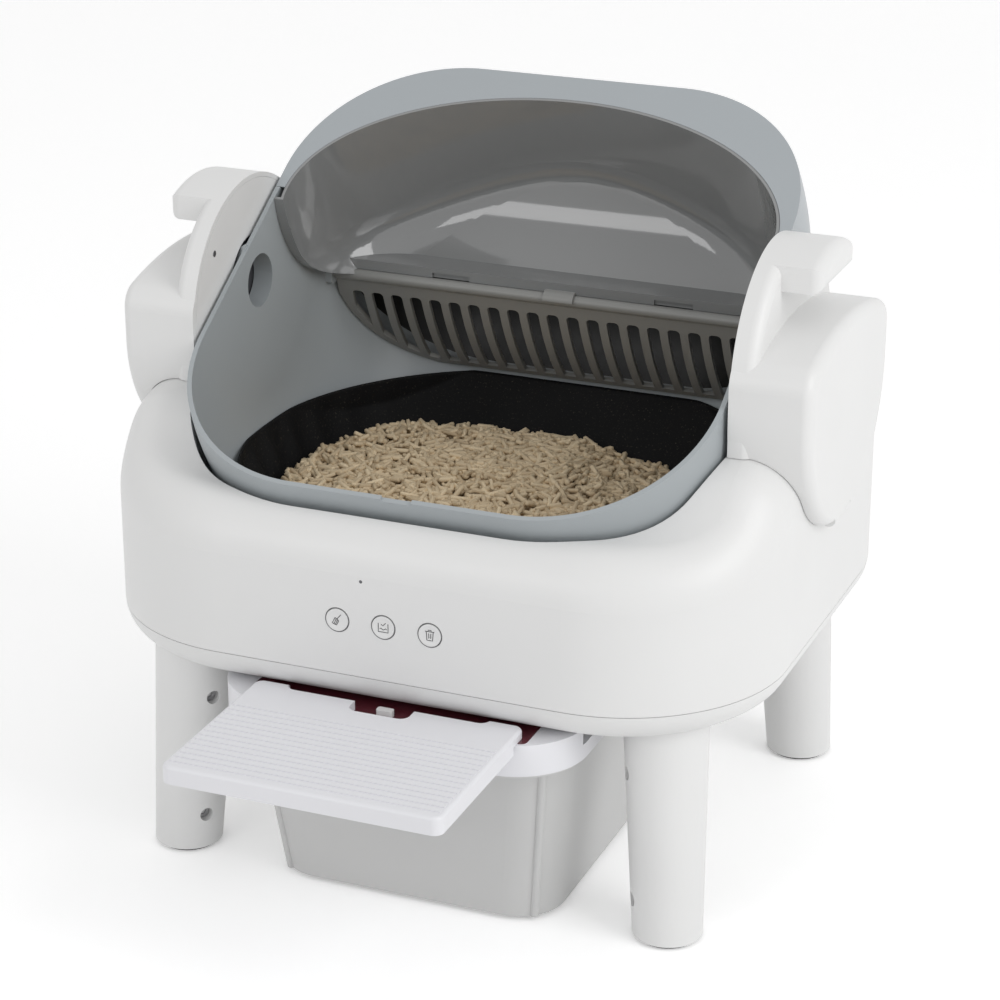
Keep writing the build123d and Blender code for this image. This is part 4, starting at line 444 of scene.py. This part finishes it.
class LITTERBOX_OT_drum(bpy.types.Operator):
    """Gives the drum, hood and grate their finishes"""

    bl_idname = "litterbox.drum"
    bl_label = "Drum, hood and grate"

    def execute(self, context):
        finish = context.scene.litter_box.finish
        bowl = moulded("drum_grey", finish.drum, 0.38, mottle=0.06, bump=0.06)
        shade_and_soil_behind_grate(bowl)
        dress(bowl, "drum_bowl")
        dress(moulded("hood_grey", finish.hood, 0.36, mottle=0.05, bump=0.05), "hood_shell")
        panel = moulded("panel_gloss", finish.panel, 0.10, mottle=0.08, spread=0.06, bump=0.008, coat=1.0)
        dress(panel, "hood_panel")
        dress(moulded("grate_grey", finish.grate, 0.36, mottle=0.1, bump=0.08), "grate_panel", "grate_clip")
        return {"FINISHED"}


def shade_and_soil_behind_grate(material):
    """Paints shade, near black, on the inside of the bowl behind the grate's plane, with some soil where
    the sieved waste falls.

    The mask is 1 where a point is behind the plane through the grate's hinge and nearer to the drum's axis
    than the middle of its wall, r(x) = R - c + sqrt(c^2 - (|x| - h + c)^2), which leaves the outside clean.
    """
    tree = material.node_tree
    shader = tree.nodes["Principled BSDF"]
    hinge = JOINTS["grate_swing"]["pos_m"]
    corner = DRUM_INNER_CORNER + DRUM_WALL / 2
    split = tree.nodes.new("ShaderNodeSeparateXYZ")
    tree.links.new(tree.nodes.new("ShaderNodeTexCoord").outputs["Object"], split.inputs[0])
    x, y, z = split.outputs

    def work(operation, first, second=0.0):
        return math_node(tree, operation, first, second)

    lean = math.atan2(*GRATE_FALL)
    back = work("MULTIPLY", work("SUBTRACT", y, hinge[1]), math.cos(lean))
    up = work("MULTIPLY", work("SUBTRACT", z, hinge[2]), math.sin(lean))
    behind = work("GREATER_THAN", work("ADD", back, up), SHADE_AND_SOIL_START)
    over = work("MAXIMUM", work("SUBTRACT", work("ABSOLUTE", x), DRUM_INNER_HALF - DRUM_INNER_CORNER))
    drop = work("SQRT", work("MAXIMUM", work("SUBTRACT", corner**2, work("MULTIPLY", over, over))))
    skin = work("ADD", drop, DRUM_INNER_RADIUS - DRUM_INNER_CORNER)
    aside, above = (work("ABSOLUTE", work("SUBTRACT", *pair)) for pair in ((y, AXIS_Y), (z, AXIS_Z)))
    square = work("ADD", work("POWER", aside, 2.0), work("POWER", above, 2.0))
    inside = work("LESS_THAN", work("SQRT", square), skin)
    within = work("LESS_THAN", work("ABSOLUTE", x), DRUM_INNER_HALF + DRUM_WALL / 2)
    mask = work("MULTIPLY", work("MULTIPLY", behind, inside), within)
    # Painted shade, with some soil: the bowl turns near black behind the grate.
    plain = shader.inputs["Base Color"].links[0].from_socket
    tree.links.new(mix_colour(tree, mask, plain, (0.015, 0.015, 0.014, 1.0)), shader.inputs["Base Color"])


class LITTERBOX_OT_hardware(bpy.types.Operator):
    """Gives screws, pins, the drive and the controls their finishes"""

    bl_idname = "litterbox.hardware"
    bl_label = "Hardware and controls"

    def execute(self, context):
        steel = moulded("zinc_steel", (0.46, 0.46, 0.47), 0.34, mottle=0.2, metallic=1.0)
        dress(steel, "shell_screws", "leg_screws", "board_screws", "left_arm_screws", "right_arm_screws")
        dress(steel, "arm_pins", "grate_rod", "gear_motor")
        brass = moulded("brass_bush", (0.60, 0.42, 0.16), 0.30, mottle=0.15, metallic=1.0)
        dress(brass, "drive_bush", "idler_bush")
        acetal = moulded("dark_acetal", (0.05, 0.05, 0.055), 0.45, mottle=0.1)
        dress(acetal, "drive_gear", "idler_hub", "motor_pinion")
        dress(moulded("pad_rubber", (0.03, 0.03, 0.03), 0.75, mottle=0.2, bump=0.3), "foot_pads")
        dress(moulded("board_green", (0.02, 0.12, 0.05), 0.35, mottle=0.2), "control_board")
        black = moulded("black_moulding", (0.02, 0.02, 0.02), 0.45, mottle=0.2)
        dress(black, "button_switches", "power_inlet")
        dress(moulded("lamp_lens", (0.10, 0.10, 0.11), 0.15, coat=0.5), "indicator_light")
        return {"FINISHED"}


class LITTERBOX_OT_marks(bpy.types.Operator):
    """Prints the three plain signs on the button caps, and rings of painted shade round them for their gaps
    in the shell
    """

    bl_idname = "litterbox.marks"
    bl_label = "Button marks"

    def execute(self, context):
        ink = moulded("mark_ink", (0.10, 0.10, 0.105), 0.55, mottle=0.2)
        # Painted shade: a dark ring on the shell stands in for the shadow in the gap round each cap.
        dark = moulded("gap_shade_ring", (0.16, 0.16, 0.165), 0.6, mottle=0.2)
        for node, body in BUTTON_BODIES.items():
            low, high = (Vector(corner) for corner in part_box(node))
            middle = ((low.x + high.x) / 2, (low.z + high.z) / 2)
            mark = new_piece(f"{body}_mark", *mark_strokes(MARKS[body], middle), ink, body, "black_plastic")
            ring = new_piece(f"{body}_ring", *shade_ring_surface(middle), dark, "base", "black_plastic")
            for piece in (mark, ring):
                solid = piece.modifiers.new("thickness", "SOLIDIFY")
                solid.thickness = INK_THICKNESS
                solid.offset = -1.0
        return {"FINISHED"}


# Strokes of the signs in millimetres from the cap's middle: a broom, a level tray and a bin with its lid
MARKS = {
    "clean": (
        ((3.4, 4.9), (1.6, 2.8), (-0.2, 0.7)),
        ((-1.9, 1.6), (-0.4, 0.5), (1.2, -0.6)),
        ((-1.9, 1.6), (-3.1, -1.0), (-4.4, -3.2), (-2.6, -4.0), (-0.6, -4.6), (0.5, -2.5), (1.2, -0.6)),
        ((-0.9, 0.7), (-1.8, -1.6), (-2.9, -3.8)),
        ((0.2, 0.0), (-0.6, -2.2), (-1.6, -4.2)),
    ),
    "level": (
        ((-4.2, 3.4), (-4.2, 0.0), (-4.2, -4.0), (0.0, -4.0), (4.2, -4.0), (4.2, 0.0), (4.2, 3.4)),
        ((-1.9, 2.6), (-0.5, 1.2), (2.2, 4.0)),
        ((-3.0, -1.6), (-2.0, -0.9), (-1.0, -1.6), (0.0, -2.2), (1.0, -1.6), (2.0, -0.9), (3.0, -1.6)),
    ),
    "empty": (
        ((-3.9, 3.1), (0.0, 3.1), (3.9, 3.1)),
        ((-1.3, 3.1), (-1.3, 4.4), (1.3, 4.4), (1.3, 3.1)),
        ((-3.0, 3.1), (-2.7, -0.5), (-2.4, -4.4), (0.0, -4.4), (2.4, -4.4), (2.7, -0.5), (3.0, 3.1)),
        ((-0.9, 1.5), (-0.8, -2.8)),
        ((0.9, 1.5), (0.8, -2.8)),
    ),
}


def mark_strokes(strokes, middle):
    """Points and faces of flat strokes on a button cap.

    A stroke's two edges are its path p(s) moved by half its width to both sides along the normal of p'(s).
    They lie on the cap's hollow, y(r) = front - R + sqrt(R^2 - r^2), for the distance r from its middle.
    """
    points, faces, first = [], [], 0
    for stroke in strokes:
        path = np.array(stroke) / 1000
        run = np.gradient(path, axis=0)
        run /= np.linalg.norm(run, axis=1, keepdims=True)
        aside = np.stack([-run[:, 1], run[:, 0]], axis=1) * STROKE_HALF
        flat = np.stack([path + aside, path - aside])
        hollow = np.sqrt(CAP_HOLLOW**2 - (flat**2).sum(-1)) - CAP_HOLLOW
        x, z = middle[0] + flat[..., 0], middle[1] + flat[..., 1]
        points.append(np.stack([x, FRONT_Y + hollow - STROKE_LIFT, z], axis=-1).reshape(-1, 3))
        faces += flipped(grid_quads(2, len(path), False) + first)
        first += 2 * len(path)
    return np.concatenate(points), faces


def shade_ring_surface(middle):
    """Points and faces of a flat ring of painted gap shade on the shell round a button cap, between two
    radii.
    """
    around = 48
    radii = np.array([1.0, RING_GROWTH]) * (CAP_RADIUS + RING_GAP)
    radius, angle = np.meshgrid(radii, full_turn(around), indexing="ij")
    x, z = middle[0] + radius * np.cos(angle), middle[1] + radius * np.sin(angle)
    points = np.stack([x, np.full_like(x, FRONT_Y - RING_LIFT), z], axis=-1)
    return points, flipped(grid_quads(2, around, True))


class LITTERBOX_OT_liner(bpy.types.Operator):
    """Builds the soft liner in the bowl"""

    bl_idname = "litterbox.liner"
    bl_label = "Liner"

    def execute(self, context):
        liner = context.scene.litter_box.liner
        material = dusty("liner_black", liner.colour, (0.09, 0.08, 0.06), 0.7, 620.0, 0.5)
        piece = new_piece("liner_skin", *liner_surface(liner), material, "drum", "liner_black")
        solid = piece.modifiers.new("thickness", "SOLIDIFY")
        solid.thickness = liner.thickness
        solid.offset = -1.0
        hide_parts("drum_liner")
        return {"FINISHED"}


def liner_surface(liner):
    """Points and faces of the liner: a level ring of directions swept from the rim to the floor.

    Row t lies at height z(t) = rim - t (rim - floor) and follows the bowl's reach there. Folds at the
    left press it inwards by a triangle wave of the direction, strongest half way down.
    """
    around, down = 360, 46
    t, angle = np.meshgrid(np.linspace(0, 1, down), full_turn(around), indexing="ij")
    gap = 0.0006
    floor = AXIS_Z - DRUM_INNER_RADIUS + gap + 0.0002
    height = LINER_RIM - t * (LINER_RIM - floor)
    reach = bowl_reach(angle, height, gap)
    beat = np.abs((angle * liner.folds / (2 * np.pi)) % 1.0 - 0.35)
    left = np.exp(-(((angle - np.radians(195)) / np.radians(40)) ** 2))
    depth = np.sin(np.pi * np.clip(t * 2.2, 0, 1)) * left
    reach = np.maximum(reach - liner.fold_depth * depth * np.clip(1 - 2.6 * beat, 0, 1), 0.0)
    points = np.stack([reach * np.cos(angle), AXIS_Y + reach * np.sin(angle), height], axis=-1)
    return points, flipped(grid_quads(down, around, True))


class LITTERBOX_OT_litter(bpy.types.Operator):
    """Builds the raked litter: a core and loose pellets on it"""

    bl_idname = "litterbox.litter"
    bl_label = "Litter"

    def execute(self, context):
        litter = context.scene.litter_box.litter
        material = pellet_material(litter)
        core = new_piece("litter_core", *core_surface(), material, "drum", "litter_tan")
        # Painted shade: the core is tinted dark so that the gaps between the pellets look shaded.
        tint = core.data.attributes.new("tint", "FLOAT", "POINT")
        tint.data.foreach_set("value", np.full(len(core.data.vertices), 0.85, np.float32))
        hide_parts("litter_bed")
        rng = np.random.default_rng(litter.seed)
        for part in range(2):
            points, faces, shade = pellet_heap(litter, litter.pellets // 2, rng)
            name = f"litter_pellets_{part + 1}"
            heap = new_piece(name, points, faces, material, "drum", "litter_tan")
            tint = heap.data.attributes.new("tint", "FLOAT", "POINT")
            tint.data.foreach_set("value", shade.astype(np.float32))
        return {"FINISHED"}


def core_surface():
    """Closed core under the pellets: the raked top out to the wall, then down the bowl to its floor."""
    around, rows, down = 160, 30, 16
    s, angle = np.meshgrid(np.linspace(0, 1, rows), full_turn(around), indexing="ij")
    edge = bowl_reach(angle, np.full_like(angle, LITTER_TOP - EDGE_DROP), EDGE_INSET)
    x, y = s * edge * np.cos(angle), AXIS_Y + s * edge * np.sin(angle)
    top = np.stack([x, y, litter_height(x, y) - 0.004], axis=-1)
    t, angle = np.meshgrid(np.linspace(0, 1, down), angle[0], indexing="ij")
    floor = AXIS_Z - DRUM_INNER_RADIUS + EDGE_INSET + 0.0005
    height = top[-1, :, 2] + t * (floor - top[-1, :, 2])
    reach = np.minimum(bowl_reach(angle, height, EDGE_INSET), edge[0])
    side = np.stack([reach * np.cos(angle), AXIS_Y + reach * np.sin(angle), height], axis=-1)
    points = np.concatenate([top, side[1:]])
    return points, grid_quads(rows + down - 1, around, True).tolist()


def pellet_heap(litter, count, rng):
    """Points, faces and tints of scattered pellets.

    A pellet is a five-sided rod with four rings, narrowed at both ends, and bent a little. Its middle is
    drawn evenly over the raked surface and its axis points anywhere level, tilted a little.
    """
    sides, rings = 5, 4
    angle = rng.uniform(0, 2 * np.pi, count)
    share = np.sqrt(rng.uniform(0, 1, count))
    length = litter.length * rng.uniform(0.6, 1.3, count)
    edge = bowl_reach(angle, np.full(count, LITTER_TOP - EDGE_DROP), EDGE_INSET) - 0.004
    x, y = share * edge * np.cos(angle), AXIS_Y + share * edge * np.sin(angle)
    z = litter_height(x, y) + rng.uniform(-0.003, 0.0035, count)
    turn = rng.uniform(0, 2 * np.pi, count)
    tilt = rng.normal(0, 0.22, count)
    along = np.stack([np.cos(tilt) * np.cos(turn), np.cos(tilt) * np.sin(turn), np.sin(tilt)], axis=-1)
    aside = np.stack([-np.sin(turn), np.cos(turn), np.zeros(count)], axis=-1)
    over = np.cross(along, aside)
    inward = np.stack([np.cos(angle), np.sin(angle), np.zeros(count)], axis=-1)
    outreach = np.abs((along * inward).sum(-1)) * length / 2
    slip = np.clip(share * edge + outreach - edge, 0, None)
    centre = np.stack([x, y, z], axis=-1) - inward * slip[:, None]
    station = np.array([-0.5, -0.42, 0.42, 0.5])
    girth = np.array([0.72, 1.0, 1.0, 0.72])
    phase = full_turn(sides)[:, None]
    thick = litter.radius * rng.uniform(0.85, 1.15, count)
    spine = centre[:, None, :] + along[:, None, :] * (station[None, :, None] * length[:, None, None])
    round_part = np.cos(phase) * aside[:, None, None, :] + np.sin(phase) * over[:, None, None, :]
    points = spine[:, :, None, :] + round_part * (thick[:, None, None, None] * girth[None, :, None, None])
    tube = grid_quads(rings, sides, True)
    faces = (np.arange(count)[:, None, None] * rings * sides + tube).reshape(-1, 4).tolist()
    first = np.arange(sides)[::-1]
    last = (rings - 1) * sides + np.arange(sides)
    caps = np.concatenate([np.arange(count)[:, None] * rings * sides + cap for cap in (first, last)])
    faces += caps.tolist()
    shade = np.clip(rng.normal(0.22, 0.16, count), 0, 1)
    right = (x - STAIN_SPOT[0]) / STAIN_REACH[0]
    back = (y - AXIS_Y - STAIN_SPOT[1]) / STAIN_REACH[1]
    shade = np.clip(shade + 0.45 * np.exp(-(right**2) - back**2), 0, 1)
    return points.reshape(-1, 3), faces, np.repeat(shade, rings * sides)


def pellet_material(litter):
    """Pressed plant fibre: each pellet's own tint, fine flecks and a rough surface. The core under the
    pellets gets a dark tint, which is painted shade in the gaps between them.
    """
    material, tree, shader = new_material("pellet_tan")
    tint = tree.nodes.new("ShaderNodeAttribute")
    tint.attribute_name = "tint"
    coords = tree.nodes.new("ShaderNodeTexCoord").outputs["Object"]
    flecks = noise_node(tree, 1500.0, 3.0, coords).outputs["Fac"]
    body = mix_colour(tree, tint.outputs["Fac"], (*litter.dry, 1.0), (*litter.dark, 1.0))
    fleck = math_node(tree, "MULTIPLY", flecks, 0.35)
    tree.links.new(mix_colour(tree, fleck, body, (*litter.dark, 1.0)), shader.inputs["Base Color"])
    shader.inputs["Roughness"].default_value = 0.85
    shader.inputs["Specular IOR Level"].default_value = 0.25
    add_bump(tree, shader, flecks, 0.5, 0.0005)
    return material


class LITTERBOX_OT_stage(bpy.types.Operator):
    """Sets the floor, the lamps, the room light and the camera"""

    bl_idname = "litterbox.stage"
    bl_label = "Stage"

    def execute(self, context):
        stage = context.scene.litter_box.stage
        set_camera(context.scene, stage)
        set_room(context.scene, stage)
        set_floor(stage)
        target = Vector(stage.target)
        soft_lamp("key_lamp", target + Vector(KEY_PLACE), target, KEY_SIZE, stage.key)
        soft_lamp("front_lamp", target + Vector(FRONT_PLACE), target, FRONT_SIZE, stage.fill)
        context.scene.view_settings.view_transform = "Standard"
        return {"FINISHED"}


def set_camera(scene, stage):
    """Camera on its sphere round the target, looking at it, level."""
    data = bpy.data.cameras.new("camera")
    data.lens = stage.lens
    data.sensor_width = 36.0
    data.clip_end = 50.0
    camera = bpy.data.objects.new("camera", data)
    scene.collection.objects.link(camera)
    flat = math.cos(stage.elevation)
    back = Vector((
        math.sin(stage.azimuth) * flat,
        -math.cos(stage.azimuth) * flat,
        math.sin(stage.elevation),
    ))
    camera.location = Vector(stage.target) + back * stage.distance
    camera.rotation_euler = back.to_track_quat("Z", "Y").to_euler()
    scene.camera = camera


def seen_ray(tree):
    """Mask that is 1 for rays of the camera, of mirrors and of glass, and 0 for the others."""
    path = tree.nodes.new("ShaderNodeLightPath").outputs
    mirrored = math_node(tree, "MAXIMUM", path["Is Glossy Ray"], path["Is Transmission Ray"])
    return math_node(tree, "MAXIMUM", path["Is Camera Ray"], mirrored)


def set_room(scene, stage):
    """Even room light; the camera, mirrors and glass see plain white."""
    world = bpy.data.worlds.new("room")
    scene.world = world
    world.use_nodes = True
    tree = world.node_tree
    light = tree.nodes["Background"]
    light.inputs["Color"].default_value = (1.0, 1.0, 1.0, 1.0)
    light.inputs["Strength"].default_value = stage.sky
    seen = tree.nodes.new("ShaderNodeBackground")
    seen.inputs["Color"].default_value = (0.96, 0.96, 0.965, 1.0)
    mix = tree.nodes.new("ShaderNodeMixShader")
    tree.links.new(seen_ray(tree), mix.inputs[0])
    tree.links.new(light.outputs[0], mix.inputs[1])
    tree.links.new(seen.outputs[0], mix.inputs[2])
    tree.links.new(mix.outputs[0], tree.nodes["World Output"].inputs["Surface"])


def set_floor(stage):
    """Large pale floor that turns up into a backdrop: one sheet along a quarter circle."""
    reach, bend, rise = 3.0, 1.5, 4.0
    turn = np.linspace(0, np.pi / 2, 24)
    y = np.concatenate([[-6.0], reach + bend * np.sin(turn), [reach + bend]])
    z = np.concatenate([[0.0], bend * (1 - np.cos(turn)), [rise]])
    x = np.linspace(-7, 7, 3)
    grid_y, grid_x = np.meshgrid(y, x, indexing="ij")
    grid_z = np.meshgrid(z, x, indexing="ij")[0]
    material, tree, shader = new_material("floor_white")
    shader.inputs["Base Color"].default_value = (0.93, 0.93, 0.93, 1.0)
    shader.inputs["Roughness"].default_value = 0.6
    shader.inputs["Specular IOR Level"].default_value = 0.2
    shader.inputs["Emission Strength"].default_value = stage.glow
    tree.links.new(seen_ray(tree), shader.inputs["Emission Color"])
    mesh = bpy.data.meshes.new("floor")
    points = np.stack([grid_x, grid_y, grid_z], axis=-1).reshape(-1, 3)
    mesh.from_pydata(points.tolist(), [], flipped(grid_quads(len(y), 3, False)))
    mesh.polygons.foreach_set("use_smooth", np.ones(len(mesh.polygons), bool))
    mesh.materials.append(material)
    floor = bpy.data.objects.new("floor", mesh)
    bpy.context.scene.collection.objects.link(floor)


def soft_lamp(name, place, target, size, power):
    """Rectangular soft lamp that faces the target."""
    data = bpy.data.lights.new(name, "AREA")
    data.shape = "RECTANGLE"
    data.size, data.size_y = size
    data.energy = power
    lamp = bpy.data.objects.new(name, data)
    lamp.location = place
    lamp.rotation_euler = (place - target).to_track_quat("Z", "Y").to_euler()
    bpy.context.scene.collection.objects.link(lamp)


class LITTERBOX_PT_dresser(bpy.types.Panel):
    """Lists the dresser's steps in the sidebar"""

    bl_idname = "LITTERBOX_PT_dresser"
    bl_label = "Litter box"
    bl_space_type = "VIEW_3D"
    bl_region_type = "UI"
    bl_category = "Litter box"

    def draw(self, context):
        for step in STEPS:
            self.layout.operator(step.bl_idname)


STEPS = (
    LITTERBOX_OT_shells,
    LITTERBOX_OT_drum,
    LITTERBOX_OT_hardware,
    LITTERBOX_OT_marks,
    LITTERBOX_OT_liner,
    LITTERBOX_OT_litter,
    LITTERBOX_OT_stage,
)
CLASSES = (
    LitterSettings,
    LinerSettings,
    FinishSettings,
    StageSettings,
    LitterBoxSettings,
    *STEPS,
    LITTERBOX_PT_dresser,
)


def register():
    """Registers the classes and hangs the settings on the scene."""
    for item in CLASSES:
        bpy.utils.register_class(item)
    bpy.types.Scene.litter_box = bpy.props.PointerProperty(type=LitterBoxSettings)


def unregister():
    """Takes the settings and the classes away again."""
    del bpy.types.Scene.litter_box
    for item in reversed(CLASSES):
        bpy.utils.unregister_class(item)


def main():
    """Runs every step in order."""
    register()
    for step in STEPS:
        group, name = step.bl_idname.split(".")
        getattr(getattr(bpy.ops, group), name)()


if __name__ == "__main__":
    main()
